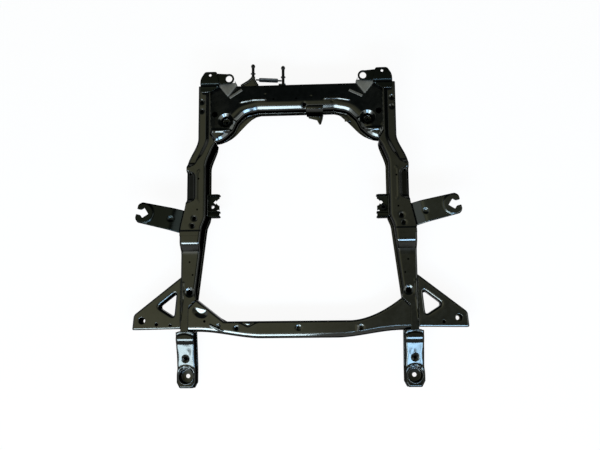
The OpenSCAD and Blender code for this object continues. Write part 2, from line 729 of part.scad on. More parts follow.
// Bent plate over the front edge of the crossmember, with a hooked fin
module engine_mount_bracket() {
    x0 = 30;
    x1 = 82;
    face_t = 3;
    face_y = cross_front_y - lip_w - weld_gap - face_t;
    top_z = rear_top + weld_gap + face_t;
    fin_z = keel_z + 8;
    color(paint) {
        translate([x0, 0, 0]) rotate([90, 0, 90]) linear_extrude(x1 - x0)
            polygon(bent_sheet([[face_y, fin_z], [face_y, rear_top - 12], [cross_front_y - 2, top_z],
                [cross_front_y + 8, top_z]], face_t));
        slab(fin_z, fin_z + face_t) polygon([[x0 + 4, face_y + face_t / 2], [x0 + 51, face_y + face_t / 2],
            [x0 + 50, face_y - 8], [x0 + 44, face_y - 26], [x0 + 39, face_y - 26], [x0 + 32, face_y - 12],
            [x0 + 6, face_y - 5]]);
    }
}
module hose_bracket() {
    x = 148;
    z = cross_seam_z + 12;
    color(paint) difference() {
        translate([x, cross_front(x) - 22, z]) cube([20, 30, 3]);
        cross_fill(weld_gap);
    }
}
module rod_along_y(profile, x, y0) {
    translate([x, y0, hanger_z]) rotate([-90, 0, 0]) rotate_extrude() polygon(profile);
}
function rod_profile(l, stop) = [[0, 0], [rod_r, 0], [rod_r, stop], [rod_r + 3, stop], [rod_r + 3, stop + 3],
    [rod_r, stop + 3], [rod_r, l - 12], [rod_r + 2, l - 8], [rod_r + 2, l - 4], [rod_r - 1, l], [0, l]];

module strut(a, b, r) {
    d = b - a;
    translate([a.x, a.y, hanger_z]) rotate([0, 0, atan2(d.y, d.x)]) rotate([0, 90, 0]) cylinder(h = norm(d), r = r);
}
module hanger_bracket() {
    hub = [long_rod_x, hub_y + hub_l / 2];
    leg_r = 4;
    color(paint) intersection() {
        union() {
            strut(hub, [long_rod_x - 38, rear_edge_y - 6], leg_r);
            strut(hub, [long_rod_x + 14, rear_edge_y - 6], leg_r);
            slab(hanger_z - 1.5, hanger_z + 1.5) polygon([hub, [long_rod_x - 38, rear_edge_y - 6],
                [long_rod_x + 14, rear_edge_y - 6]]);
            rod_along_y([[0, 0], [rod_r + 2, 0], [rod_r + 2, hub_l], [0, hub_l]], long_rod_x, hub_y);
        }
        translate([-cradle_w / 2, wall_y, 0]) cube([cradle_w, hanger_reach, rear_top]);
    }
}
module long_hanger_rod() {
    y0 = hub_y + hub_l + weld_gap;
    color(steel) rod_along_y(rod_profile(cradle_l / 2 - y0, 8), long_rod_x, y0);
}
module hanger_foot() {
    color(paint) translate([short_rod_x - 14, wall_y, hanger_z - 8]) cube([22, 3, 16]);
}
module short_hanger_rod() {
    y0 = wall_y + 3 + weld_gap;
    color(steel) rod_along_y(rod_profile(cradle_l / 2 - 8 - y0, 21), short_rod_x, y0);
}
// Wire from the hub's leg to the short rod; its ends stand off by a little more because it slants
wire_r = 2.5;
wire_a = [long_rod_x + 2 * rod_r, hub_y - 4];
wire_b = [short_rod_x - rod_r - 2.5 * weld_gap, hub_y - 9.5];
module damper_wire() {
    color(steel) strut(wire_a, wire_b, wire_r);
}
module damper_sleeve() {
    d = wire_b - wire_a;
    a = wire_a + d * 0.12;
    b = wire_a + d * 0.86;
    color(steel) difference() {
        strut(a, b, sleeve_r);
        strut(a - d * 0.02, b + d * 0.02, wire_r + 0.1);
    }
}

rear_crossmember_upper();
rear_crossmember_lower();
color(paint) left_side() rear_rail_upper();  // left_rear_rail_upper
color(paint) rear_rail_upper();  // right_rear_rail_upper
color(paint) left_side() front_rail_upper();  // left_front_rail_upper
color(paint) front_rail_upper();  // right_front_rail_upper
color(paint) left_side() rail_lower();  // left_rail_lower
color(paint) rail_lower();  // right_rail_lower
front_beam_upper();
front_beam_lower();
color(paint) left_side() ear_upper(true);  // left_ear_upper
color(paint) ear_upper(false);  // right_ear_upper
color(paint) left_side() ear_lower();  // left_ear_lower
color(paint) ear_lower();  // right_ear_lower
color(paint) left_side() front_arm_upper();  // left_front_arm_upper
color(paint) front_arm_upper();  // right_front_arm_upper
color(paint) left_side() front_arm_lower();  // left_front_arm_lower
color(paint) front_arm_lower();  // right_front_arm_lower
color(steel) left_side() mount_cup();  // left_mount_cup
color(steel) mount_cup();  // right_mount_cup
color(paint) left_side() claw_bracket(-claw_skew);  // left_claw_bracket
color(paint) claw_bracket(claw_skew);  // right_claw_bracket
color(paint) left_side() shift_y(side_skew) side_bracket();  // left_side_bracket
color(paint) shift_y(-side_skew) side_bracket();  // right_side_bracket
color(steel) left_side() shift_y(side_skew) side_bracket_nut();  // left_side_bracket_nut
color(steel) shift_y(-side_skew) side_bracket_nut();  // right_side_bracket_nut
color(paint) left_side() rear_mount_plate();  // left_rear_mount_plate
color(paint) rear_mount_plate();  // right_rear_mount_plate
color(paint) left_side() ring_tab();  // left_ring_tab
color(paint) ring_tab();  // right_ring_tab
color(paint) left_side() corner_gusset();  // left_corner_gusset
color(paint) corner_gusset();  // right_corner_gusset
engine_mount_bracket();
hose_bracket();
hanger_bracket();
hanger_foot();
long_hanger_rod();
short_hanger_rod();
damper_wire();
damper_sleeve();
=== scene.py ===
"""Looks of a car's front subframe: glossy black stampings, weld beads, cups and hanger rods.

Shapes are worked out in millimetres in the part's own frame, X across the car, Y to the rear
crossmember, Z up, and go into the meshes in metres. Right-hand pieces are worked out and the left
ones are their mirror images.
"""

import bmesh
import bpy
import numpy as np
from mathutils import Matrix, Vector
from mathutils.geometry import delaunay_2d_cdt


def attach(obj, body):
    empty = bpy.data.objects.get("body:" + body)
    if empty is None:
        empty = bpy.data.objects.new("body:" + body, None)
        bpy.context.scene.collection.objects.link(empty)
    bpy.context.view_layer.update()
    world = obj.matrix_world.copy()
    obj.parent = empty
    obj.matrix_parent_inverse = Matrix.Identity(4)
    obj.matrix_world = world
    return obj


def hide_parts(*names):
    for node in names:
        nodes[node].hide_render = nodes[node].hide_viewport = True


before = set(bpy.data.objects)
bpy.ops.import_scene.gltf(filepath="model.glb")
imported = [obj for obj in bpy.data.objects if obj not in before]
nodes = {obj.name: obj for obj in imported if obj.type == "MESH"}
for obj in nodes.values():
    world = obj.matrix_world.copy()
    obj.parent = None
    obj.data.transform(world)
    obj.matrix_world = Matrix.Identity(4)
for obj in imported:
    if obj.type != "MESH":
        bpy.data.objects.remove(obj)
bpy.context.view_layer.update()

MM = 0.001
SHEET = 2.5
REAR_TOP, FRONT_TOP, SEAM = 100.0, 72.0, 30.0
REAR_EDGE, CROSS_FRONT, ARCH = 428.0, 344.0, 246.9
RAIL_FRONT, RAIL_SPLIT, JOG = -330.0, -43.0, -233.0
ARM_TIP, ARM_SEAT, CUP_X, CUP_Y = -498.0, -330.2, 344.0, -463.0
PAD_END, DRAIN_Y = -436, -410
WELL = 218, 314, 24
BEAM_HALF, EAR_ROOT = 309, 357.2


# Numbers and paths

def ease(v, start, end):
    """Smooth step: 0 up to start, 1 from end on, 3 t^2 - 2 t^3 between."""
    t = np.clip((v - start) / (end - start), 0, 1)
    return t * t * (3 - 2 * t)


def lerp(a, b, t):
    """Straight mix: a at t = 0, b at t = 1."""
    return a + (b - a) * t


def ramp(v, start, end, soft):
    """Straight rise from 0 at start to 1 at end whose two kinks are rounded over soft:
    the difference of two soft hinges, each (d + sqrt(d^2 + soft^2)) / 2."""
    hinge = lambda d: (d + np.sqrt(d * d + soft * soft)) / 2
    return (hinge(v - start) - hinge(v - end)) / (end - start)


def soft_less(a, b, soft):
    """The smaller of two values, with a hyperbola of size soft where they meet."""
    return (a + b - np.sqrt((a - b) ** 2 + soft * soft)) / 2


def length(v):
    """Lengths of vectors, at least a millionth."""
    return np.maximum(np.linalg.norm(v, axis=-1, keepdims=True), 1e-6)


def unit(v):
    """Vectors scaled to length 1."""
    return v / length(v)


def stations(*stretches):
    """Values along a line: each (start, end, cells) stretch is split evenly."""
    parts = [np.linspace(a, b, n, endpoint=False) for a, b, n in stretches]
    return np.concatenate(parts + [[stretches[-1][1]]])


def bend(corners, radii, cells, turns=6):
    """Bent sections, one a row: straights between the corners, split into cells, and in each inner
    corner a quadratic curve a (1-t)^2 + 2 c t (1-t) + b t^2 that starts its radius before the corner, or
    just under half the shorter straight."""
    last = corners.shape[1] - 1
    tail, parts = corners[:, 0], []
    for k in range(1, last + 1):
        tip = corners[:, k]
        bent = 0 < k < last and np.max(radii[k]) > 0
        start = end = tip
        if bent:
            back, ahead = corners[:, k - 1] - tip, corners[:, k + 1] - tip
            size = np.minimum(radii[k], 0.47 * np.minimum(length(back), length(ahead)))
            start, end = tip + unit(back) * size, tip + unit(ahead) * size
        t = np.linspace(0, 1, cells[k - 1], endpoint=False)[None, :, None]
        parts.append(tail[:, None] + (start - tail)[:, None] * t)
        if bent:
            t = np.linspace(0, 1, turns, endpoint=False)[None, :, None]
            curve = start[:, None] * (1 - t) ** 2 + 2 * tip[:, None] * t * (1 - t) + end[:, None] * t * t
            parts.append(curve)
        tail = end
    return np.concatenate(parts + [tail[:, None]], axis=1)


def outline(corners, radii, step=3.0):
    """Closed loop through plan corners, each rounded by its radius and split about every step."""
    corners = np.asarray(corners, float)
    seam = (corners[-1] + corners[0]) / 2
    path = np.vstack([seam, corners, seam])
    lengths = np.linalg.norm(np.diff(path, axis=0), axis=1)
    cells = np.maximum(np.ceil(lengths / step), 1).astype(int)
    radii = np.concatenate([[0], np.broadcast_to(radii, len(corners)), [0]])
    loop = bend(path[None], radii, cells)[0][:-1]
    gap = np.linalg.norm(loop - np.roll(loop, 1, axis=0), axis=1)
    return loop[gap > 1e-3]


def circle(x, y, r, count=40):
    """Loop round a hole, clockwise so that the metal is on its left."""
    a = -np.linspace(0, 2 * np.pi, count, endpoint=False)
    return np.stack([x + r * np.cos(a), y + r * np.sin(a)], axis=1)


# Meshes

def grid_faces(rows, columns, keep=None, closed=False):
    """Quads between neighbouring rows and columns of a grid of points; closed joins the last
    column to the first."""
    index = np.arange(rows * columns).reshape(rows, columns)
    if closed:
        index = np.concatenate([index, index[:, :1]], axis=1)
    quads = np.stack([index[:-1, :-1], index[:-1, 1:], index[1:, 1:], index[1:, :-1]], axis=-1)
    return quads[keep] if keep is not None else quads.reshape(-1, 4)


def upward(points, faces):
    """The faces turned so that their summed normals point up."""
    flat = points.reshape(-1, 3)
    a, b, c = flat[faces[:, :3]].swapaxes(0, 1)
    return faces if np.cross(b - a, c - a)[:, 2].sum() > 0 else faces[:, ::-1]


def outward(points, faces):
    """The faces turned so that the volume they enclose is positive."""
    flat = points.reshape(-1, 3) - points.reshape(-1, 3).mean(axis=0)
    a, b, c = flat[faces[:, :3]].swapaxes(0, 1)
    return faces if np.einsum("ij,ij->i", a, np.cross(b, c)).sum() > 0 else faces[:, ::-1]


def show(name, data):
    """New object of a mesh, lamp or camera in the scene."""
    obj = bpy.data.objects.new(name, data)
    bpy.context.scene.collection.objects.link(obj)
    return obj


def merge(source, mesh, near, flat=0):
    """Copies a mesh with points up to near apart merged and facets within flat degrees joined."""
    shell = bmesh.new()
    shell.from_mesh(source)
    bmesh.ops.remove_doubles(shell, verts=shell.verts, dist=near * MM)
    if flat:
        bmesh.ops.dissolve_limit(shell, angle_limit=np.radians(flat), verts=shell.verts, edges=shell.edges)
    shell.to_mesh(mesh)
    shell.free()


def settle(obj, coat, sharp):
    """Puts a new piece's modifier into its mesh, smooths all but edges over sharp degrees, and gives it
    its finish, body and slot."""
    if obj.modifiers:
        view = obj.evaluated_get(bpy.context.evaluated_depsgraph_get())
        obj.data = bpy.data.meshes.new_from_object(view)
        obj.modifiers.clear()
    obj.data.name = obj.name
    obj.data.shade_smooth()
    obj.data.set_sharp_from_angle(angle=np.radians(sharp))
    obj.data.materials.clear()
    obj.data.materials.append(coat)
    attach(obj, "root")


def piece(name, shape, coat, stands_for=(), wall=0.0, left=False, sharp=40):
    """New piece from a shape: points in millimetres and arrays of quads or triangles. Points that meet are
    merged, and a sheet gets its wall thickness. The left one of a pair has X turned round and its faces
    with it."""
    points, face_sets = shape
    points = points.reshape(-1, 3) * ([-MM, MM, MM] if left else MM)
    face_sets = [f[:, ::-1] if left else f for f in face_sets]
    loops = np.concatenate([f.ravel() for f in face_sets])
    sizes = np.concatenate([np.full(len(f), f.shape[1]) for f in face_sets])
    used, loops = np.unique(loops, return_inverse=True)
    mesh = bpy.data.meshes.new(name)
    mesh.vertices.add(len(used))
    mesh.vertices.foreach_set("co", points[used].ravel())
    mesh.loops.add(len(loops))
    mesh.loops.foreach_set("vertex_index", loops.astype(np.int32))
    mesh.polygons.add(len(sizes))
    starts = np.concatenate([[0], np.cumsum(sizes)[:-1]])
    mesh.polygons.foreach_set("loop_start", starts.astype(np.int32))
    mesh.update(calc_edges=True)
    mesh.validate()
    merge(mesh, mesh, 0.005)
    obj = show(name, mesh)
    if wall:
        solid = obj.modifiers.new("wall", "SOLIDIFY")
        solid.thickness, solid.offset, solid.use_even_offset = wall * MM, -1, True
        solid.thickness_clamp = 1.0
    settle(obj, coat, sharp)
    if stands_for:
        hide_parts(*stands_for)


def pair(name, shape, coat, node=None, wall=0.0, sharp=40):
    """The same piece on the right and, mirrored, on the left."""
    for side in ("right", "left"):
        stands_for = (side + "_" + node,) if node else ()
        piece(side + "_" + name, shape, coat, stands_for, wall, side == "left", sharp)


def eased_node(name, coat, width=0.9):
    """Copy of a solid whose edges are rounded: doubles merged, flat facets joined, edges bevelled."""
    mesh = bpy.data.meshes.new(name + "_eased")
    merge(nodes[name].data, mesh, 0.02, 0.5)
    obj = show(name + "_eased", mesh)
    edge = obj.modifiers.new("edge", "BEVEL")
    edge.width, edge.segments, edge.limit_method = width * MM, 3, "ANGLE"
    edge.angle_limit, edge.use_clamp_overlap = np.radians(35), True
    settle(obj, coat, 32)
    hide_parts(name)


# Pressing a sheet

def uncut(sheet):
    """Mark of the cells to keep in a grid sheet: all of them."""
    return np.ones((sheet.shape[0] - 1, sheet.shape[1] - 1), bool)


def cut(sheet, keep):
    """Shape of a grid sheet: its points and the quads of its kept cells, facing up."""
    return sheet, [upward(sheet, grid_faces(*sheet.shape[:2], keep))]


def along_y(y, *corners):
    """Section corners, each an x and a height, at the stations y."""
    return np.stack([np.stack([x + 0 * y, y, h + 0 * y], axis=1) for x, h in corners], axis=1)


def reach(sheet, x, y):
    """Plan distance of every point of a sheet from (x, y)."""
    return np.hypot(sheet[..., 0] - x, sheet[..., 1] - y)


def line_reach(sheet, path):
    """Plan distance of every point of a sheet from a line of straight stretches."""
    near, path = np.full(sheet.shape[:2], 1e9), np.array(path, float)
    for a, b in zip(path[:-1], path[1:]):
        run = b - a
        t = np.clip(((sheet[..., :2] - a) @ run) / (run @ run), 0, 1)
        near = np.minimum(near, np.linalg.norm(sheet[..., :2] - a - t[..., None] * run, axis=-1))
    return near


def press(sheet, low, lift):
    """Moves the points of a sheet's top, those above low, up by lift."""
    sheet[..., 2] += np.where(sheet[..., 2] > low, lift, 0)


def dish(sheet, low, x, y, flat, rim, depth):
    """Round hollow: depth within flat of its middle, smoothly nothing at rim."""
    press(sheet, low, -depth * (1 - ease(reach(sheet, x, y), flat, rim)))


def ridge(sheet, low, path, half, height):
    """Raised bead along a line, or a groove if height is negative: height (1 + cos) / 2 of the distance,
    nothing at half."""
    press(sheet, low, height * (1 + np.cos(np.pi * np.clip(line_reach(sheet, path) / half, 0, 1))) / 2)


def fold(sheet, low, path, half, height):
    """Raised bead along a line with straight sides: full height within 1 of the line, then a soft-edged
    ramp down that ends 1 short of half."""
    press(sheet, low, height * (1 - ramp(line_reach(sheet, path), 1, half - 1, 0.5)))


def punch(sheet, keep, low, *holes):
    """Round holes, each x, y and radius, in a grid sheet: cells whose middle is inside are dropped, and
    the points on the hole's edge are moved along their radius onto the circle."""
    touch = lambda cells: np.maximum.reduce([np.pad(cells, ((a, 1 - a), (b, 1 - b)))
                                             for a in (0, 1) for b in (0, 1)])
    for x, y, r in holes:
        middle = (sheet[:-1, :-1] + sheet[1:, :-1] + sheet[1:, 1:] + sheet[:-1, 1:]) / 4
        inside = (reach(middle, x, y) < r) & (middle[..., 2] > low)
        keep &= ~inside
        rim = touch(inside) & touch(~inside)
        edge = sheet[rim]
        edge[:, :2] = (x, y) + unit(edge[:, :2] - (x, y)) * r
        sheet[rim] = edge


def in_loop(points, loop):
    """Even-odd test: a point is inside if a line to its right crosses the loop an odd number of times."""
    x, y = points[:, :1], points[:, 1:]
    a, b = loop, np.roll(loop, -1, axis=0)
    with np.errstate(divide="ignore", invalid="ignore"):
        cut = (b[:, 0] - a[:, 0]) * (y - a[:, 1]) / (b[:, 1] - a[:, 1]) + a[:, 0]
    return (((a[:, 1] > y) != (b[:, 1] > y)) & (x < cut)).sum(axis=1) % 2 == 1


def fill(loops, cell):
    """Triangles inside the first loop and outside the others, with a grid of points between."""
    inside = lambda p: in_loop(p, loops[0]) & ~np.any([in_loop(p, loop) for loop in loops[1:]], axis=0)
    low, high = loops[0].min(axis=0), loops[0].max(axis=0)
    spread = np.meshgrid(np.arange(low[0], high[0], cell), np.arange(low[1], high[1], cell))
    field = np.stack(spread, axis=-1).reshape(-1, 2)
    field = field[inside(field)]
    rim = np.vstack(loops)
    near = np.min(np.linalg.norm(field[:, None] - rim[None], axis=2), axis=1)
    field = field[near > 0.7 * cell]
    edges, first = [], 0
    for loop in loops:
        edges += [(first + k, first + (k + 1) % len(loop)) for k in range(len(loop))]
        first += len(loop)
    spots = [Vector(p) for p in np.vstack([rim, field]).tolist()]
    spots, _, faces, _, _, _ = delaunay_2d_cdt(spots, edges, [], 0, 1e-5)
    spots, faces = np.array([s[:] for s in spots]), np.array(faces)
    faces = faces[inside(spots[faces].mean(axis=1))]
    a, b, c = spots[faces].swapaxes(0, 1)
    turn = (b - a)[:, 0] * (c - a)[:, 1] - (b - a)[:, 1] * (c - a)[:, 0]
    faces[turn < 0] = faces[turn < 0][:, ::-1]
    return spots, faces


def pressed_plate(loops, top, rolls, skirts, cell, thick=0.0, wide=1.0):
    """Plate with rolled edges. Round each loop, metal on its left, runs a quarter ellipse of the roll's
    radius (inset w r (1 - cos a), fall r (1 - sin a)), w times as wide as high, and under it a skirt.
    The middle is filled with triangles, top(x, y) gives the height, and a thick plate also gets a floor."""
    points, face_sets, count, inner = [], [], 0, []
    a = np.linspace(0, np.pi / 2, 6)[:, None]
    for loop, roll, skirt in zip(loops, rolls, skirts):
        along = unit(np.roll(loop, -1, axis=0) - np.roll(loop, 1, axis=0))
        metal = np.stack([-along[:, 1], along[:, 0]], axis=1)
        roll, skirt = np.broadcast_to(roll, len(loop)), np.broadcast_to(skirt, len(loop))
        inset = np.vstack([0 * roll, 0 * roll, wide * roll * (1 - np.cos(a))])
        fall = np.vstack([roll + skirt, roll + skirt / 2, roll * (1 - np.sin(a))])
        plan = loop[None] + metal[None] * inset[..., None]
        rings = np.concatenate([plan, (top(plan[..., 0], plan[..., 1]) - fall)[..., None]], axis=-1)
        points.append(rings.reshape(-1, 3))
        face_sets.append(grid_faces(len(rings), len(loop), closed=True) + count)
        count += rings.shape[0] * len(loop)
        inner.append(plan[-1])
    spots, faces = fill(inner, cell)
    points.append(np.column_stack([spots, top(spots[:, 0], spots[:, 1])]))
    face_sets.append(faces + count)
    count += len(spots)
    if thick:
        spots, faces = fill(loops, 2 * cell)
        points.append(np.column_stack([spots, top(spots[:, 0], spots[:, 1]) - thick]))
        face_sets.append(faces[:, ::-1] + count)
    return np.vstack(points), face_sets


def level(height):
    """Flat top for a pressed plate."""
    return lambda x, y: height + 0 * x


def lathe(profile, place, along=(0, 0, 1), count=56):
    """Surface of revolution, facing out: profile rows are (radius, distance along the axis)."""
    z = unit(np.array(along, float))
    x = unit(np.cross(z, (0, 1, 0) if abs(z[1]) < 0.9 else (1, 0, 0)))
    y = np.cross(z, x)
    a = np.linspace(0, 2 * np.pi, count, endpoint=False)
    round_ = np.cos(a)[:, None] * x + np.sin(a)[:, None] * y
    points = np.array(place, float) + profile[:, None, :1] * round_[None] + profile[:, None, 1:] * z
    return points, [outward(points, grid_faces(len(profile), count, closed=True))]


def turned(corners, radii, cells=3):
    """Lathe profile with rounded corners."""
    return bend(np.array(corners, float)[None], radii, [cells] * (len(corners) - 1), 4)[0]


def tube(path, radius, sides=10):
    """Round bar along a path that is nowhere upright: circles square to the path, of the radius given at
    each point, and caps."""
    ahead = unit(np.gradient(path, axis=0))
    side = unit(np.cross(ahead, (0, 0, 1)))
    over = np.cross(side, ahead)
    a = np.linspace(0, 2 * np.pi, sides, endpoint=False)
    ring = np.cos(a)[:, None] * side[:, None] + np.sin(a)[:, None] * over[:, None]
    points = path[:, None] + np.broadcast_to(radius, len(path))[:, None, None] * ring
    start, end = (np.repeat(tip[None, None], sides, 1) for tip in (path[0], path[-1]))
    points = np.concatenate([start, points, end])
    return points, [outward(points, grid_faces(len(points), sides, closed=True))]


def weld(corners, radius, seed):
    """Weld bead along straight stretches: a tube whose radius swells in ripples of sine along it and tapers
    at both ends, and whose middle wanders a little."""
    corners, step = np.array(corners, float), 1.1
    far = np.concatenate([[0], np.cumsum(np.linalg.norm(np.diff(corners, axis=0), axis=1))])
    at = np.linspace(0, far[-1], max(int(far[-1] / step), 6))
    path = np.stack([np.interp(at, far, corners[:, k]) for k in range(3)], axis=1)
    s = np.linspace(0, 1, len(path))
    run = s * np.linalg.norm(np.diff(path, axis=0), axis=1).sum()
    swell = 1 + 0.06 * np.sin(run * 1.9 + seed) + 0.08 * np.sin(run * 0.37 + 2.3 * seed)
    ends = np.sqrt(np.clip(1 - (2 * s - 1) ** 8, 0.02, 1))
    wander = 0.35 * np.stack([np.sin(run * 0.23 + seed), np.cos(run * 0.29 + seed), 0 * run], axis=1)
    return tube(path + wander, radius * swell * ends)


def joined(*shapes):
    """Several shapes of points and face sets as one."""
    points, face_sets, count = [], [], 0
    for spots, sets in shapes:
        points.append(spots.reshape(-1, 3))
        face_sets += [faces + count for faces in sets]
        count += len(points[-1])
    return np.vstack(points), face_sets


# Finishes

class Wire:
    """An output socket of a shader node. Arithmetic on it adds Math nodes."""

    def __init__(self, tree, socket):
        self.tree, self.socket = tree, socket

    def math(self, operation, *values):
        """Math node of this socket and other sockets or numbers, in that order."""
        return self.tree.node("ShaderNodeMath", {"operation": operation}, dict(enumerate(values)))

    def __add__(self, other):
        return self.math("ADD", self, other)

    def __sub__(self, other):
        return self.math("SUBTRACT", self, other)

    def __rsub__(self, other):
        return self.math("SUBTRACT", other, self)

    def __mul__(self, other):
        return self.math("MULTIPLY", self, other)

    def __abs__(self):
        return self.math("ABSOLUTE", self)

    __radd__, __rmul__ = __add__, __mul__

    def between(self, low, high):
        """0 at low, 1 at high, held to 0 and 1 outside."""
        return self.tree.node("ShaderNodeMapRange", {"clamp": True},
                              {"Value": self, "From Min": low, "From Max": high})


class Finish:
    """The node tree of a material or of the world."""

    def __init__(self, owner):
        self.owner = owner
        owner.use_nodes = True
        self.nodes, self.links = owner.node_tree.nodes, owner.node_tree.links
        self.nodes.clear()

    def node(self, kind, settings=None, sockets=None, out=0):
        """Adds a node of any type, sets its settings, and gives its sockets values or links."""
        made = self.nodes.new(kind)
        for key, value in (settings or {}).items():
            setattr(made, key, value)
        for key, value in (sockets or {}).items():
            if isinstance(value, Wire):
                self.links.new(value.socket, made.inputs[key])
            else:
                made.inputs[key].default_value = value
        return Wire(self, made.outputs[out]) if made.outputs else None

    def noise(self, scale, detail=2.0, rough=0.5, stretch=(1, 1, 1)):
        """Noise on Object coordinates; scale counts features a metre."""
        place = self.node("ShaderNodeTexCoord", out="Object")
        place = self.node("ShaderNodeVectorMath", {"operation": "MULTIPLY"}, {0: place, 1: stretch})
        return self.node("ShaderNodeTexNoise", {}, {"Vector": place, "Scale": scale, "Detail": detail,
                                                   "Roughness": rough}, out="Fac")

    def axes(self, kind, output, names):
        """Wires of the named axes of a vector output of a new node."""
        vector = self.node(kind, out=output)
        return [self.node("ShaderNodeSeparateXYZ", {}, {0: vector}, out=k) for k in names]

    def blend(self, share, a, b):
        """Colour a where share is 0 and b where it is 1."""
        return self.node("ShaderNodeMix", {"data_type": "RGBA"}, {"Factor": share, 6: a, 7: b}, out=2)

    def end(self, shader):
        """Connects the surface."""
        self.node("ShaderNodeOutputMaterial", {}, {"Surface": shader})
        return self.owner

    def coating(self, colour, rough, metal, strength, distance, height, more=None):
        """Ends in a principled surface with a bump of that strength, distance and height."""
        bump = self.node("ShaderNodeBump", {}, {"Strength": strength, "Distance": distance, "Height": height})
        return self.end(self.node("ShaderNodeBsdfPrincipled", {}, {
            "Base Color": colour, "Roughness": rough, "Metallic": metal, "Normal": bump, **(more or {})}))


def enamel(name, deep, pale, dust, rough, edge=0.10, peel=0.003, pockets=False):
    """Glossy black electro-coat, shown as a dark mirror: its colour is the share of light it sends back,
    two near-black tints in broad clouds. Dust lies on what faces up and dulls it, fine scuffs vary the
    roughness, and a faint orange peel is in the bump. The edge tint keeps steep walls dark. Given
    pockets, painted shade darkens the rear rails' pockets by mixing their colour towards black."""
    f = Finish(bpy.data.materials.new(name))
    cloud = f.noise(7.0, 4.0, 0.6).between(0.32, 0.72)
    fine = f.noise(60.0, 3.0, 0.6)
    skin = f.noise(240.0, 2.0)
    grit = f.noise(700.0, 2.0).between(0.58, 0.80)
    up, = f.axes("ShaderNodeNewGeometry", "Normal", "Z")
    lying = up.between(0.80, 1.0) * (fine.between(0.35, 0.75) * 0.6 + 0.4) * 0.5
    colour = f.blend(cloud, deep, pale)
    colour = f.blend(lying * (0.4 + 0.6 * grit), colour, dust)
    if pockets:
        # Painted shade: inside the rear rails' pockets the colour is mixed 65 percent towards black.
        x, y = f.axes("ShaderNodeTexCoord", "Object", "XY")
        inside = abs(x).between(0.312, 0.318) * y.between(0.062, 0.072) * y.between(0.154, 0.148)
        colour = f.blend(inside * 0.65, colour, (0.001, 0.001, 0.001, 1))
    dull = rough + 0.05 * (cloud - 0.5) + 0.04 * (fine - 0.5) + 0.08 * lying
    return f.coating(colour, dull, 1.0 - 0.15 * lying, peel, 0.002, skin + 0.8 * fine,
                     {"Specular Tint": (edge, edge, edge, 1)})


def primer(name, deep, pale):
    """Satin grey patch: clouded grey that is worn paler in fine specks, with a broad soft shine."""
    f = Finish(bpy.data.materials.new(name))
    cloud = f.noise(30.0, 4.0, 0.6).between(0.30, 0.70)
    speck = f.noise(420.0, 2.0).between(0.50, 0.75)
    colour = f.blend(cloud * 0.7 + speck * 0.3, deep, pale)
    return f.coating(colour, 0.36 + 0.14 * cloud, 0.15, 0.03, 0.001, speck)


def bare_steel(name, deep, pale, rough):
    """Coated steel: drawn streaks along the rods in colour and roughness."""
    f = Finish(bpy.data.materials.new(name))
    streak = f.noise(220.0, 3.0, 0.6, (1, 0.12, 1))
    cloud = f.noise(40.0, 3.0)
    colour = f.blend((streak * 0.6 + cloud * 0.4).between(0.3, 0.7), deep, pale)
    return f.coating(colour, rough + 0.2 * (cloud - 0.5), 0.9, 0.08, 0.001, streak)


def rubber(name, deep, pale):
    """Matt rubber: fine grain in the bump, and painted light: grey clouds that lighten the side that faces
    the rear.
    """
    f = Finish(bpy.data.materials.new(name))
    back, = f.axes("ShaderNodeNewGeometry", "Normal", "Y")
    # Painted light: on the side that faces the rear, grey clouds lighten the rubber towards the pale colour.
    painted_rear_light = f.noise(60.0, 4.0).between(0.15, 0.60) * back.between(-0.25, 0.10)
    grain = f.noise(900.0, 2.0)
    return f.coating(f.blend(painted_rear_light, deep, pale), 0.62 + 0.12 * grain, 0.0, 0.15, 0.001, grain,
                     {"Specular IOR Level": 0.12})


DUST = (0.070, 0.069, 0.062, 1)
TINTS = (0.041, 0.042, 0.040, 1), (0.052, 0.053, 0.050, 1)
coat = enamel("black_coat", *TINTS, DUST, 0.13)
# Rail coat with painted shade in the rear rails' pockets.
rail_coat_pocket_shade = enamel("rail_coat_pocket_shade", *TINTS, DUST, 0.13, pockets=True)
# Darker copy of the black enamel: painted shade on the side brackets, mount plates, ring tabs and the left
# claw.
painted_shade_coat = enamel("painted_shade_bracket_coat", (0.009, 0.011, 0.011, 1), (0.014, 0.017, 0.016, 1),
                   (0.016, 0.018, 0.017, 1), 0.18)
arm_coat = enamel("arm_coat", (0.026, 0.027, 0.026, 1), (0.034, 0.035, 0.033, 1), DUST, 0.14)
claw_coat = enamel("claw_coat", (0.042, 0.046, 0.044, 1), (0.052, 0.056, 0.053, 1), DUST, 0.16)
front_coat = enamel("front_coat", (0.054, 0.055, 0.051, 1), (0.070, 0.071, 0.066, 1), DUST, 0.13)
pale_coat = primer("patch_primer", (0.078, 0.071, 0.060, 1), (0.140, 0.126, 0.104, 1))
weld_coat = enamel("weld_coat", (0.046, 0.048, 0.047, 1), (0.062, 0.064, 0.062, 1), DUST, 0.24, 0.15, 0.02)
cup_coat = enamel("cup_coat", (0.042, 0.044, 0.045, 1), (0.066, 0.068, 0.068, 1),
                  (0.09, 0.09, 0.085, 1), 0.26, 0.25)
rod_steel = bare_steel("rod_steel", (0.006, 0.006, 0.006, 1), (0.016, 0.016, 0.015, 1), 0.36)
# Its pale colour is painted light on the side of the sleeve that faces the rear.
sleeve_rubber = rubber("sleeve_rubber", (0.002, 0.002, 0.002, 1), (0.130, 0.130, 0.126, 1))


# Side rails

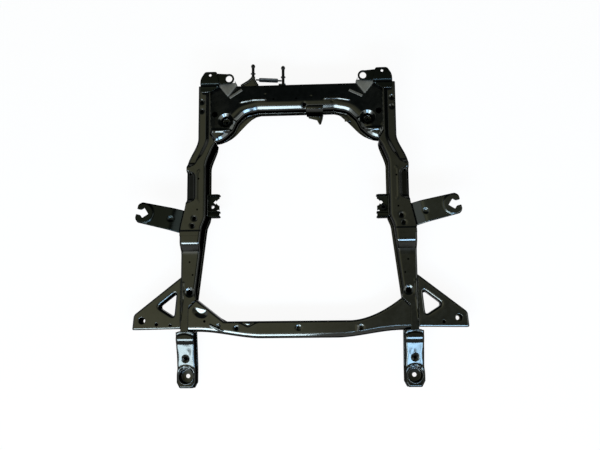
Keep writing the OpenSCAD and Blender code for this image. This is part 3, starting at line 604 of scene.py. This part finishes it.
def rail_in(y):
    """Half width to a rail's inner edge: straight and eased stretches from the neck to the rear corner."""
    neck = lerp(332, 309, np.clip((y - JOG + 24) / 24, 0, 1))
    front = lerp(309, 284, (y - JOG) / 210)
    joggle = lerp(284, 272, ease(y, -23, 17))
    middle = lerp(272, 250, ease(y, 169, ARCH))
    rear = lerp(250, 265, np.clip((y - ARCH) / 24, 0, 1))
    return np.select([y > ARCH, y > 17, y > -23, y > JOG], [rear, middle, joggle, front], neck)


def rail_out(y):
    """Half width to a rail's outer edge."""
    return np.where(y > 77, lerp(338, 305, ease(y, 169, 262)), lerp(357, 338, ease(y, RAIL_SPLIT, 77)))


def rail_flange(y):
    """Width of the weld flange along a rail's inner edge, which fades out at both ends."""
    return 0.5 + 5.5 * ease(y, JOG + 2, JOG + 26) * (1 - ease(y, ARCH - 24, ARCH))


def flange_top(y):
    """Height of that flange: one sheet above the seam, down to the seam where the flange fades out."""
    return SEAM + 0.3 + (SHEET - 0.3) * (rail_flange(y) - 0.5) / 5.5


def rail_top(y):
    """Height of a rail's top: a parabola rises 2.75 to the foot of the ramp, the ramp climbs straight to
    a narrow facet, and the facet runs into the level top. Hyperbolas (smooth smaller of two) round both
    kinks."""
    climb = FRONT_TOP + 2.75 * np.clip((y + 106) / 18, 0, 1) ** 2 + 1.16 * np.maximum(y + 88, 0)
    facet = REAR_TOP + 0.466 * np.maximum(y + 62.2, -14)
    return soft_less(soft_less(climb, facet, 1.0), REAR_TOP, 1.2)


def rear_rail():
    """Section carried along Y: flange, inner wall, top, step, ledge and outer wall. The front edge laps
    over the front rail and stands a little higher there. The pocket ends and the ledge begins in a quarter
    circle, and the step down to the ledge is slanted."""
    y = stations((RAIL_SPLIT + 0.2, -16, 14), (-16, 60, 28), (60, 175, 42), (175, 280, 38),
                 (280, REAR_EDGE, 50))
    lap = 1.5 * (1 - ease(y, -31, -24))
    xi, xo, z = rail_in(y), rail_out(y), rail_top(y) + lap
    xw = xi + rail_flange(y)
    pocket_middle, pocket_half, ledge_start, round_end, width = 107.5, 47.5, 171, 16, 28
    depth = 10 * (ease(y, 169, 183) + 0.8 * ease(y, 57, 71) * (1 - ease(y, 152, 158)))
    from_end = np.where(y > 162, ledge_start - y, np.abs(y - pocket_middle) - pocket_half) + round_end
    step = xo - width + round_end - np.sqrt(round_end ** 2 - np.clip(from_end, 0, round_end) ** 2)
    slant = 8 * ease(y, 183, 210)
    ledge = ease(y, 158, 169)
    inside, outside = lerp(0.7, 0.97, ledge) * depth, lerp(1.4, 1.03, ledge) * depth
    rows = along_y(y, (xi, flange_top(y)), (xw, flange_top(y)), (xw, z), (step - slant, z),
                   (step + 4, z - inside), (xo, z - outside), (xo, SEAM))
    roll = 8 - 5.5 * ease(y, ARCH - 14, ARCH + 2)[:, None]
    sheet = bend(rows, [0, 2, roll, 2.5, 2.5, 8, 0], [2, 8, 14, 2, 8, 9])
    keep, low = uncut(sheet), 78
    dish(sheet, low, 312, 10, 6, 11, 2.0)
    dish(sheet, low, 318, -12, 6, 10, 1.5)
    dish(sheet, low, 293, 378, 5, 9, 3.0)
    dish(sheet, low, 293, 349, 5, 9, 3.0)
    ridge(sheet, low, [(300, 60), (304, 66), (304, 150), (299, 158)], 4, 1.0)
    punch(sheet, keep, low, (293, 378, 4), (293, 349, 4), (326, 148, 4), (312, 10, 6), (318, -12, 6),
          (303, 37, 3), (300, 132, 3))
    pair("rear_rail_skin", cut(sheet, keep), rail_coat_pocket_shade, "rear_rail_upper", SHEET)


def front_rail():
    """Section carried along Y: flange, inner wall, flat top and outer wall. Along the outer edge the
    ear's lap stands 1.3 higher."""
    y = stations((RAIL_FRONT, JOG - 24, 24), (JOG - 24, JOG, 10), (JOG, -200, 14), (-200, -108, 32),
                 (-108, -88, 14), (-88, -72, 12), (-72, -58, 36), (-58, RAIL_SPLIT, 8))
    xi, xo, z = rail_in(y), rail_out(y), rail_top(y)
    xw = xi + rail_flange(y)
    rows = along_y(y, (xi, flange_top(y)), (xw, flange_top(y)), (xw, z), (xo, z), (xo, SEAM))
    roll = 1.5 + 6.5 * ease(y, JOG - 2, JOG + 14)[:, None]
    sheet = bend(rows, [0, 2, roll, 8, 0], [2, 8, 18, 9])
    keep, low = uncut(sheet), 60
    dish(sheet, low, 329, -212, 9, 16, 3.5)
    lap = np.interp(sheet[..., 1], [-309, -234, -180], [354, 348.5, 346])
    press(sheet, low, 1.3 * ease(sheet[..., 0] - lap, -1.2, 1.2) * (1 - ease(sheet[..., 1], -184, -178)))
    punch(sheet, keep, low, (329, -212, 9), (330, -120, 3), (320, -159, 3))
    pair("front_rail_skin", cut(sheet, keep), coat, "front_rail_upper", SHEET, 26)


# Rear crossmember

def cross_front(x):
    """Y of the crossmember's front edge: straight in the middle, swept forward to the rails."""
    x = np.abs(x)
    sweep = 96
    return CROSS_FRONT - np.where(x <= 250, sweep * ease(x, 115, 250), sweep - 24 * (x - 250) / 15)


def cross_top(x, y):
    """Height of the top: level for 27 behind the front edge, then falling 12 to the rear edge."""
    start = cross_front(x) + 27
    return REAR_TOP - 12 * np.clip((y - start) / (REAR_EDGE - start), 0, 1)


def corner_wells():
    """Round hollows in the crossmember's top: lathe profile of a flat funnel, a steep wall, a round foot
    and a floor with a hole, carried on the sloping top."""
    r, depth = WELL[2], 26
    profile = turned([(r + 1.2, 0.12), (r - 0.4, -0.3), (r - 10.5, -8), (13, -depth), (5, -depth),
                      (4, -depth - 2)], [0, 1.2, 1.5, 4, 1, 0], 6)
    points, sets = lathe(profile, (*WELL[:2], 0))
    points[..., 2] += cross_top(points[..., 0], points[..., 1])
    pair("corner_well", (points, [upward(points, sets[0])]), coat, wall=2.0)


def rear_crossmember():
    """Section carried along X: lip, front wall, slanted front edge, crest, sloping top and rear wall. The
    front part of each section stands square to the swept front edge and turns straight near the rails. In
    the swept corners the lip is wider and the wall stands further back."""
    x = stations((-264.8, -250, 8), (-250, -110, 84), (-110, 110, 96), (110, 250, 84), (250, 264.8, 8))
    far = np.abs(x)
    yf = cross_front(x)
    slope = np.gradient(yf, x)
    square = unit(np.stack([-slope, 1 + 0 * x], axis=1))
    plain = ease(far, 205, 245)[:, None]
    into = unit(square * (1 - plain) + np.array([0, 1.0]) * plain)
    narrow, wide = 0.5, 4.5
    lip = narrow + wide * (1 - ease(far, 210, 242)) + wide * ease(far, 123, 151) * (1 - ease(far, 195, 230))
    lift = 60.3 + 2.2 * np.clip((lip - narrow) / wide, 0, 1)
    back = 10 * ease(far, 125, 158) * (1 - ease(far, 172, 200))
    brow = 90.6 + 6.0 * ease(far, 242, 258)
    at = lambda d, h: np.column_stack([x + into[:, 0] * d, yf + into[:, 1] * d, h + 0 * x])
    rear = lambda h: np.column_stack([x, REAR_EDGE + 0 * x, h + 0 * x])
    rows = np.stack([at(-lip, lift), at(back, lift), at(back, brow), at(back + 14, 99.6),
                     at(back + 27, REAR_TOP), rear(88), rear(60)], axis=1)
    sheet = bend(rows, [0, 3, 5, 4, 10, 10, 0], [3, 7, 4, 4, 56, 7], 7)
    keep, low = uncut(sheet), 84
    fold(sheet, low, [(-170, 372), (-133, 378), (-96, 378)], 6, 3.9)
    fold(sheet, low, [(89, 376), (126, 377), (162, 371)], 6, 3.9)
    for way in (-1, 1):
        ridge(sheet, low, [(way * 204, 318), (way * 178, 303)], 6, 3.0)
    fold(sheet, low, [(-258, 281), (-206, 281)], 7.5, 3.7)
    fold(sheet, low, [(208, 277), (255, 277)], 7.5, 3.7)
    for px, py in ((-96, 394), (46, 384), (110, 366)):
        dish(sheet, low, px, py, 1, 5, 1.4)
    dish(sheet, low, 25, 358, 6, 10, 1.5)
    punch(sheet, keep, low, (-WELL[0], *WELL[1:]), WELL, (-252, 334, 9), (252, 334, 9), (25, 358, 6),
          (-70, 378, 3), (0, 378, 3))
    piece("crossmember_skin", cut(sheet, keep), coat, ("rear_crossmember_upper",), SHEET)
    corner_wells()


# Front beam

def beam_rear(x):
    """Y of the beam's rear edge: the left corner runs back straight, the right one in a curve."""
    left = np.clip((-x - BEAM_HALF + 84) / 84, 0, 1)
    right = np.clip((x - BEAM_HALF + 155) / 155, 0, 1) ** 1.8
    inner = -299 + 66 * np.where(x < 0, left, right)
    return np.where(np.abs(x) <= BEAM_HALF, inner, JOG - 24 * (np.abs(x) - BEAM_HALF) / 23) - 0.6


def beam_front(x):
    """Y of the beam's front edge, bulged forward in the middle."""
    return RAIL_FRONT - 21 * (1 - ease(np.abs(x), 111, BEAM_HALF))


def bowl(sheet):
    """Depth of the dished recess in the beam's left corner: the smooth smaller of a tilted floor and of a
    cone on a turned ellipse, held smoothly above 0."""
    x, y = sheet[..., 0] + 295, sheet[..., 1] + 270.5
    along, across = 0.90 * x - 0.44 * y, 0.44 * x + 0.90 * y
    tilted = 0.37 * (10.5 - y) - 0.10 * x
    cone = 8.0 * (1 - np.hypot(along / 25, across / 18.5))
    deep = soft_less(tilted, cone, 0.8)
    return (deep + np.sqrt(deep * deep + 0.3)) / 2


def front_beam():
    """Section carried along X: rear wall, top, slanted front band and low front wall. To the right the
    band falls further and its crease is sharper."""
    x = stations((-331.8, -BEAM_HALF, 10), (-BEAM_HALF, -225, 60), (-225, 150, 130), (150, BEAM_HALF, 58),
                 (BEAM_HALF, 331.8, 10))
    yf, yr = beam_front(x), beam_rear(x)
    to_right = ease(x, 20, 130)
    drop, crease = 3.7 + 2.4 * to_right, 4 - 3.2 * to_right[:, None]
    corner = lambda y, h: np.column_stack([x, y, h + 0 * x])
    rows = np.stack([corner(yr, SEAM), corner(yr, FRONT_TOP), corner(yf + 14, FRONT_TOP),
                     corner(yf + 4, FRONT_TOP - drop), corner(yf, FRONT_TOP - 24), corner(yf, SEAM)], axis=1)
    sheet = bend(rows, [0, 8, crease, 4, 6, 0], [8, 44, 4, 5, 5])
    keep, low = uncut(sheet), 62
    ridge(sheet, low, [(-266, -310), (-229.5, -328)], 5, 1.6)
    ridge(sheet, low, [(174.6, -314), (174.6, -332)], 4, 1.4)
    ridge(sheet, low, [(-175, -302), (-151, -314), (-127, -302)], 6, -1.6)
    for px in (-186, 0, 186):
        dish(sheet, low, px, -321, 6, 10, 1.6)
        punch(sheet, keep, low, (px, -321, 6))
    punch(sheet, keep, low, (-283, -299, 4))
    press(sheet, low, -bowl(sheet))
    dish(sheet, low, -240, -313, 2, 7, 3.2)
    piece("front_beam_skin", cut(sheet, keep), front_coat, ("front_beam_upper",), SHEET)


# Ears

def ears():
    """Rolled box lid in the ear's plan with a rolled window, a bolt hole and a drain; the left one also
    has a slot."""
    rim = outline([(EAR_ROOT, -321), (505, -323), (501, -278), (365.2, -171), (EAR_ROOT, -165)],
                  [2, 5, 8, 10, 2], 3.0)
    window = outline([(370.2, -208), (377.2, -287), (429.2, -254)], 13, 2.0)[::-1]
    slot = outline([(383.2, -313), (383.2, -307), (392.2, -307), (392.2, -313)], 0.8, 1.5)
    root = np.abs(rim[:, 0] - EAR_ROOT) < 1.5
    loops = [rim, window, circle(475, -295, 10), circle(430, -307, 5, 24), slot]
    rolls = [np.where(root, 1.0, 4.5), 5.5, 1.5, 0.8, 0.6]
    skirts = [np.where(root, 8.0, 39.0), 38, 6.0, 2.0, 2.0]
    for side, used in (("right", 4), ("left", 5)):
        lid = pressed_plate(loops[:used], level(66), rolls[:used], skirts[:used], 7.0, wide=1.5)
        piece(side + "_ear_lid", lid, front_coat, (side + "_ear_upper",), 2.0, side == "left")


# Front arms and mounting cups

def arm_half(y):
    """Half width of an arm: wide at the pad, drawn in at the tip, narrower up the slope."""
    pad, slope = 58, 56
    tip = lerp(40, pad, np.clip((y - ARM_TIP) / 17, 0, 1))
    return np.where(y > CUP_Y, lerp(pad, slope, ease(y, CUP_Y, PAD_END)), tip) / 2


def front_arm():
    """Hat section carried along Y: the pad is level, the slope rises to the rail in three straight
    stretches, the last two short and steep, and the tip is rolled down in a quarter circle. A low collar
    stands behind the cup, the slope is slightly hollow, and bell curves press a bowed crease and a dent."""
    y = stations((ARM_TIP, ARM_TIP + 6, 8), (ARM_TIP + 6, -446, 24), (-446, -370, 40), (-370, ARM_SEAT, 44))
    w = arm_half(y)
    middle = CUP_X - ease(y, CUP_Y, PAD_END)
    top = 38
    for rise, start, end, soft in ((25, -445, -368, 4.0), (5.8, -367, -357, 1.0), (2.2, -357, -350.5, 0.7)):
        top = top + rise * ramp(y, start, end, soft)
    tip_roll = 6
    tip = np.clip((y - ARM_TIP) / tip_roll, 0, 1)
    top = top - tip_roll * (1 - np.sqrt(np.clip(1 - (1 - tip) ** 2, 0, 1)))
    rising = np.clip((y - PAD_END) / (ARM_SEAT - PAD_END), 0, 1)
    foot = lerp(8, SEAM + SHEET, rising) + SHEET
    rows = along_y(y, (middle - w - 3, foot), (middle - w, foot), (middle - w, top), (middle + w, top),
                   (middle + w, foot), (middle + w + 3, foot))
    roll = (7 + 4 * np.exp(-((y + 402) / 20) ** 2))[:, None]
    sheet = bend(rows, [0, 2, roll, roll, 2, 0], [2, 8, 30, 8, 2])
    keep, low = uncut(sheet), 30
    px, py = sheet[..., 0], sheet[..., 1]
    collar = 2.0 * np.exp(-((reach(sheet, CUP_X, CUP_Y) - 30) / 3.0) ** 2)
    press(sheet, low, collar * ease(py, -470, -445))
    across = 1 - ((px - CUP_X) / 29) ** 2
    press(sheet, low, -1.6 * across * ease(py, -450, -425) * (1 - ease(py, -375, -360)))
    ridge(sheet, low, [(CUP_X - 14, -436.5), (CUP_X + 8, -434)], 4, -1.2)
    dish(sheet, low, CUP_X, DRAIN_Y, 5, 13, 3.5)
    bow = -343 + 9 * across
    press(sheet, low, -1.8 * np.exp(-((py - bow) / 4) ** 2))
    press(sheet, low, -0.9 * np.exp(-((px - CUP_X + 8) / 9) ** 2 - ((py + 392) / 12) ** 2))
    punch(sheet, keep, low, (CUP_X, CUP_Y, 24.7), (CUP_X, DRAIN_Y, 6))
    wall = sheet[:1].copy()
    wall[..., 2] = foot[0]
    sheet = np.concatenate([wall, sheet])
    tall = (sheet[1, :-1, 2] > foot[0] + 0.1) & (np.abs(np.diff(sheet[1, :, 0])) > 0.05)
    keep = np.concatenate([tall[None], keep])
    pair("front_arm_skin", cut(sheet, keep), arm_coat, "front_arm_upper", 2.2)


def mount_cup():
    """Turned cup: floor with a bolt hole, wall, rounded rim."""
    bolt, outer, bore, height, floor_top = 6.5, 24.5, 21.5, 41, 4
    profile = turned([(bolt, floor_top), (bolt, 0), (outer - 4, 0), (outer, 4), (outer, height),
                      (bore, height), (bore, floor_top + 2), (bore - 2, floor_top), (bolt, floor_top)],
                     [0, 0.6, 1.5, 1.5, 1.3, 1.3, 1.2, 1.2, 0], 4)
    pair("cup_turned", lathe(profile, (CUP_X, CUP_Y, 0), count=72), cup_coat, "mount_cup")


# Claw brackets

def claw(side, skew):
    """Spanner-shaped plate in the claw's own u and v, then turned 13 degrees beside the rail: an open
    square slot with flared jaws, a bend that rises 20, a raised round step about the slot and a dimple.
    A skirt hangs under both flanks. The beads join it to the rail and the side bracket to the rail."""
    turn = np.radians(13)

    def place(u, v):
        """The claw's u and v as x and y."""
        return 338 + u * np.cos(turn) - v * np.sin(turn), 4 + skew + u * np.sin(turn) + v * np.cos(turn)

    def placed(points, sets):
        """A plate made in u and v, turned into the part's frame."""
        points[:, 0], points[:, 1] = place(points[:, 0], points[:, 1])
        return points, sets

    v = np.array([35, 15, 0, -15, -35.0])
    u = np.zeros(len(v))
    for _ in range(12):
        x, y = place(u, v)
        u = u + (rail_out(y) + 0.4 - x)
    slot, jaw, end = 131.0, 7.9, 152
    corners = np.vstack([np.column_stack([u, v]), [
        (144, -32), (end, -22), (end, -jaw), (slot + 7.6, -jaw), (slot, -15.6), (slot - 15.6, 0),
        (slot, 15.6), (slot + 7.6, jaw), (end, jaw), (end, 22), (144, 32)]])
    rim = outline(corners, [1, 1, 1, 1, 1, 9, 8, 3, 3, 2, 2, 2, 3, 3, 8, 9], 2.5)
    roll = np.where((np.abs(rim[:, 1]) > 26) & (rim[:, 0] > 8), 3.0, 1.2)

    def top(x, y):
        """Foot at 88, bend up to 108, 3 more inside the round step, a dimple."""
        far = np.hypot(x - slot, y)
        hole = np.hypot(x - 46, y)
        return (88 + 20 * ramp(x, 4, 42, 5.0) + 3 * (1 - ease(far, 28, 33))
                - 4.4 * (1 - ease(hole, 2.5, 11)))

    left = side == "left"
    # The left claw takes the darker copy of the enamel, which is painted shade; the right one keeps the claw
    # coat.
    finish = painted_shade_coat if left else claw_coat
    thick = 4.0
    plate = placed(*pressed_plate([rim], top, [roll], [thick - roll], 2.2, thick))
    piece(side + "_claw_plate", plate, finish, (side + "_claw_bracket",), left=left)
    strips = []
    for way in (-1, 1):
        edge = [(40, way * 33.0), (98, way * 32.2), (98, way * 28.4), (40, way * 29.2)]
        rim = outline(edge[::-way], 1.2, 3.0)
        strips.append(placed(*pressed_plate([rim], level(105.0), [0.5], [8.5], 4.0, 9.0)))
    piece(side + "_claw_skirt", joined(*strips), finish, left=left)
    y = np.array([-32, -10, 12, 33]) + skew
    bead = weld(np.column_stack([rail_out(y) + 1.0, y, 88 + 0 * y]), 2.8, 4)
    bracket_y = 49 - skew * 0.82
    inner = weld([(276.5, bracket_y + d, 73.5) for d in (-34, 0, 34)], 2.2, 6)
    piece(side + "_bracket_beads", joined(bead, inner), weld_coat, left=left)


# Rear mounts

def rear_mounts():
    """Plates bent up behind the rails, ring tabs under them, triangular caps on the crossmember and a
    patch bar beside each cap."""
    rim = outline([(264, 404), (296, 404), (294, 443), (280, 465), (244, 465), (236, 434), (237, 421)],
                  [3, 4, 8, 6, 6, 4, 3], 2.5)
    rise = lambda x, y: 103.2 + 11.8 * ramp(y, 420, 427, 0.7)
    plate = pressed_plate([rim, circle(264, 454, 4, 24)], rise, [1.2, 0.8], [1.8, 1.8], 3.0, 3.0)
    pair("mount_plate_skin", plate, painted_shade_coat, "rear_mount_plate")
    ring_x, ring_y = 206, 442
    a = np.linspace(np.radians(75), np.radians(278), 30)
    ring = np.column_stack([ring_x + 16 * np.cos(a), ring_y + 16 * np.sin(a)])
    tab = np.vstack([ring, [(236, 425), (235, 429), (242, 436), (257, 436), (257, 460), (242, 460)]])
    loops = [outline(tab, np.concatenate([0 * a, [1, 1, 1, 1, 1, 4]]), 3.0), circle(ring_x, ring_y, 10)]
    plate = pressed_plate(loops, level(111.9), [1.4, 1.8], [2.4, 2.0], 4.0, 3.8)
    pair("ring_tab_skin", plate, painted_shade_coat, "ring_tab")
    cap = outline([(241, 427), (240, 437), (185, 433), (183, 427), (211, 389)], [3, 3, 4, 3, 6], 2.0)
    under = np.where(cap[:, 1] > REAR_EDGE + 0.3, 62, cross_top(cap[:, 0], cap[:, 1]) + 0.5)
    plate = pressed_plate([cap], level(99), [3.0], [np.maximum(96 - under, 0.5)], 4.0)
    pair("gusset_cap", plate, pale_coat, "corner_gusset", 2.0)
    for name, *ends in (("left_patch_bar", (-207, 387), (-168, 413)),
                        ("right_patch_bar", (163, 403), (204, 383))):
        a, b = np.array(ends, float)
        run = unit(b - a) * 4.2
        side = np.array([-run[1], run[0]])
        bar = outline([a - side, b - side, b + side, a + side], 2.5, 2.0)
        piece(name, pressed_plate([bar], lambda x, y: cross_top(x, y) + 2.4, [2.0], [1.0], 3.0), pale_coat)


# Hanger rods and their damper

def rod_profile(total, stop):
    """Round bar with a collar and a swollen, chamfered head."""
    bar, head, collar = 4.5, 6.5, 7.5
    return turned([(0.01, 0), (bar, 0), (bar, stop), (collar, stop), (collar, stop + 3), (bar, stop + 3),
                   (bar, total - 12), (head, total - 8), (head, total - 4), (3.5, total), (0.01, total)],
                  [0, 0.8, 0.5, 0.7, 0.7, 0.8, 2, 1.5, 1.5, 0.6, 0], 3)


def hangers():
    """Two rods turned about Y, a hub on two bent legs with a web between them, a wire between the rods and
    a rubber sleeve on it."""
    z, long_x, to_rear = 78, -135, (0, 1, 0)
    for name, x, start, tip, stop in (("long", long_x, 458.2, 498, 8), ("short", -41, 431.4, 490, 21)):
        rod = lathe(rod_profile(tip - start, stop), (x, start, z), to_rear, 40)
        piece(name + "_rod_turned", rod, rod_steel, (name + "_hanger_rod",))
    legs = []
    for foot in (-173, -121):
        path = np.array([[(long_x, 456, z), (lerp(long_x, foot, 0.35), 444, z), (foot, 429.2, z)]], float)
        legs.append(tube(bend(path, [0, 6, 0], [8, 12], 6)[0], 4.0, 18))
    hub = turned([(0.01, 452), (6.5, 452), (6.5, 458), (0.01, 458)], [0, 1, 1, 0])
    legs.append(lathe(hub, (long_x, 0, z), to_rear, 40))
    piece("hanger_legs", joined(*legs), coat, ("hanger_bracket",))
    web = outline([(-165.6, 428.6), (-123.7, 428.6), (-133, 453), (-137, 453)], 1, 3.0)
    piece("hanger_web", pressed_plate([web], level(79.5), [0.8], [2.2], 4.0, 3.0), coat)
    a, b = np.array([-126, 448, z], float), np.array([-46, 442.5, z])
    wire = tube(lerp(a, b, np.linspace(0, 1, 30)[:, None]), 2.5, 16)
    piece("damper_wire_drawn", wire, rod_steel, ("damper_wire",))
    run = np.linalg.norm(b - a)
    bore, end, body, groove, total = 2.7, 5.4, 6.5, 5.9, 0.74 * run
    profile = turned([(bore, 0), (end, 0), (body, 3), (body, 0.36 * run), (groove, 0.37 * run),
                      (body, 0.38 * run), (body, total - 3), (end, total), (bore, total)],
                     [0, 1, 2, 1, 1, 1, 2, 1, 0], 4)
    sleeve = lathe(profile, lerp(a, b, 0.12), b - a, 40)
    piece("damper_sleeve_moulded", sleeve, sleeve_rubber, ("damper_sleeve",))


# Weld beads

def welds():
    """Beads in the seams that show: the crossmember, an arm, an ear and a mount plate on the rail."""
    beads = joined(
        weld([(265, 276, 99), (265, 330, 98.5), (265, 398, 96)], 2.2, 1),
        weld([(318, -330.2, 70.5), (330, -330.2, 71.2), (355, -330.2, 71.2), (366, -330.2, 70)], 2.4, 2),
        weld([(357.6, -316, 65.5), (357.6, -240, 65.5), (357.6, -172, 65.5)], 2.2, 3),
        weld([(268, 405, 101.5), (295, 405, 101.5)], 2.0, 5),
    )
    pair("weld_beads", beads, weld_coat)


rear_rail()
front_rail()
rear_crossmember()
front_beam()
ears()
front_arm()
mount_cup()
claw("left", -5.5)
claw("right", 5.5)
rear_mounts()
hangers()
welds()
for side in ("left_", "right_"):
    eased_node(side + "side_bracket", painted_shade_coat)
    for plain in ("rail_lower", "ear_lower", "front_arm_lower"):
        eased_node(side + plain, coat)
    eased_node(side + "side_bracket_nut", rod_steel, 0.6)
for plain in ("engine_mount_bracket", "hose_bracket", "hanger_foot", "front_beam_lower",
              "rear_crossmember_lower"):
    eased_node(plain, coat)


# Floor, light and camera

def floor():
    """Wide level sheet at the ground. It is white to the camera and in reflections, less its shadow."""
    far, z = 9, -0.0005
    mesh = bpy.data.meshes.new("floor")
    mesh.from_pydata([(-far, -far, z), (far, -far, z), (far, far, z), (-far, far, z)], [], [(0, 1, 2, 3)])
    obj = show("floor", mesh)
    f = Finish(bpy.data.materials.new("floor_white"))
    seen = [f.node("ShaderNodeLightPath", out="Is " + kind + " Ray")
            for kind in ("Camera", "Glossy", "Transmission")]
    share = (seen[0] + seen[1] + seen[2]).between(0.0, 1.0)
    grain = f.noise(3.0, 2.0)
    colour = f.blend(grain, (0.78, 0.78, 0.78, 1), (0.82, 0.82, 0.82, 1))
    soft = f.node("ShaderNodeBsdfDiffuse", {}, {"Color": colour})
    glow = f.node("ShaderNodeEmission", {}, {"Color": (1, 1, 1, 1), "Strength": 1.0})
    both = f.node("ShaderNodeMixShader", {}, {0: share * 0.93, 1: soft, 2: glow})
    mesh.materials.append(f.end(both))


def softbox(name, place, aim, size, watts, colour):
    """Rectangular lamp that points at aim."""
    lamp = bpy.data.lights.new(name, "AREA")
    lamp.shape, lamp.size, lamp.size_y = "RECTANGLE", size[0], size[1]
    lamp.energy, lamp.color = watts, colour
    obj = show(name, lamp)
    obj.location = place
    obj.rotation_euler = (Vector(aim) - Vector(place)).to_track_quat("-Z", "Y").to_euler()


def camera():
    """Camera almost straight above: tilted 8.4 degrees, rolled 3.1 and turned 1."""
    turns = (Matrix.Rotation(np.radians(1.0), 3, "Z") @ Matrix.Rotation(np.radians(-3.133), 3, "Y")
             @ Matrix.Rotation(np.radians(-8.388), 3, "X"))
    lens = bpy.data.cameras.new("camera")
    lens.lens, lens.sensor_width, lens.sensor_fit = 45.0, 36.0, "HORIZONTAL"
    lens.clip_end = 100
    obj = show("camera", lens)
    obj.matrix_world = Matrix.Translation((0.1314, -0.3433, 2.3197)) @ turns.transposed().to_4x4()
    bpy.context.scene.camera = obj


def room():
    """Studio round the part: a soft olive ceiling overhead that is brighter to the left and in front and
    ends towards the rear, a grey glow low in front, two pale panels in front to the left and right, a
    strip of light along each side, brighter in front on the right, and dim walls."""
    f = Finish(bpy.data.worlds.new("room"))
    x, y, z = f.axes("ShaderNodeTexCoord", "Generated", "XYZ")
    wide = abs(x)
    right = 0.16 + 0.26 * y.between(0.02, 0.18)
    over = z.between(0.76, 0.87) * y.between(0.42, 0.30) * (right + (1 - right) * x.between(0.07, -0.14))
    strip = wide.between(0.58, 0.64) * wide.between(0.90, 0.84) * z.between(0.45, 0.52)
    strip = strip * (1 - 0.85 * y.between(0.12, 0.20) * x.between(-0.2, 0.2))
    panel = z.between(0.48, 0.54) * z.between(0.74, 0.68) * y.between(-0.40, -0.50) * wide.between(0.34, 0.46)
    colour = f.blend(y.between(-0.45, -0.75), (0.022, 0.030, 0.028, 1), (0.50, 0.52, 0.50, 1))
    colour = f.blend(strip * (0.35 + 0.65 * x.between(-0.2, 0.2)), colour, (2.40, 2.55, 2.48, 1))
    ceiling = f.blend(y.between(-0.20, -0.40), (0.75, 0.74, 0.48, 1), (2.00, 2.04, 1.90, 1))
    colour = f.blend(over, colour, ceiling)
    colour = f.blend(panel, colour, (4.2, 4.6, 4.8, 1))
    light = f.node("ShaderNodeBackground", {}, {"Color": colour, "Strength": 1.0})
    f.node("ShaderNodeOutputWorld", {}, {"Surface": light})
    bpy.context.scene.world = f.owner


floor()
softbox("left_box", (-0.80, -2.12, 2.30), (-0.1, -0.3, 0.0), (1.50, 0.60), 80, (0.70, 0.87, 1.0))
softbox("right_box", (0.77, -2.12, 2.30), (0.1, -0.3, 0.0), (0.92, 0.60), 66, (0.42, 0.68, 1.0))
camera()
room()
bpy.context.scene.view_settings.view_transform = "Standard"
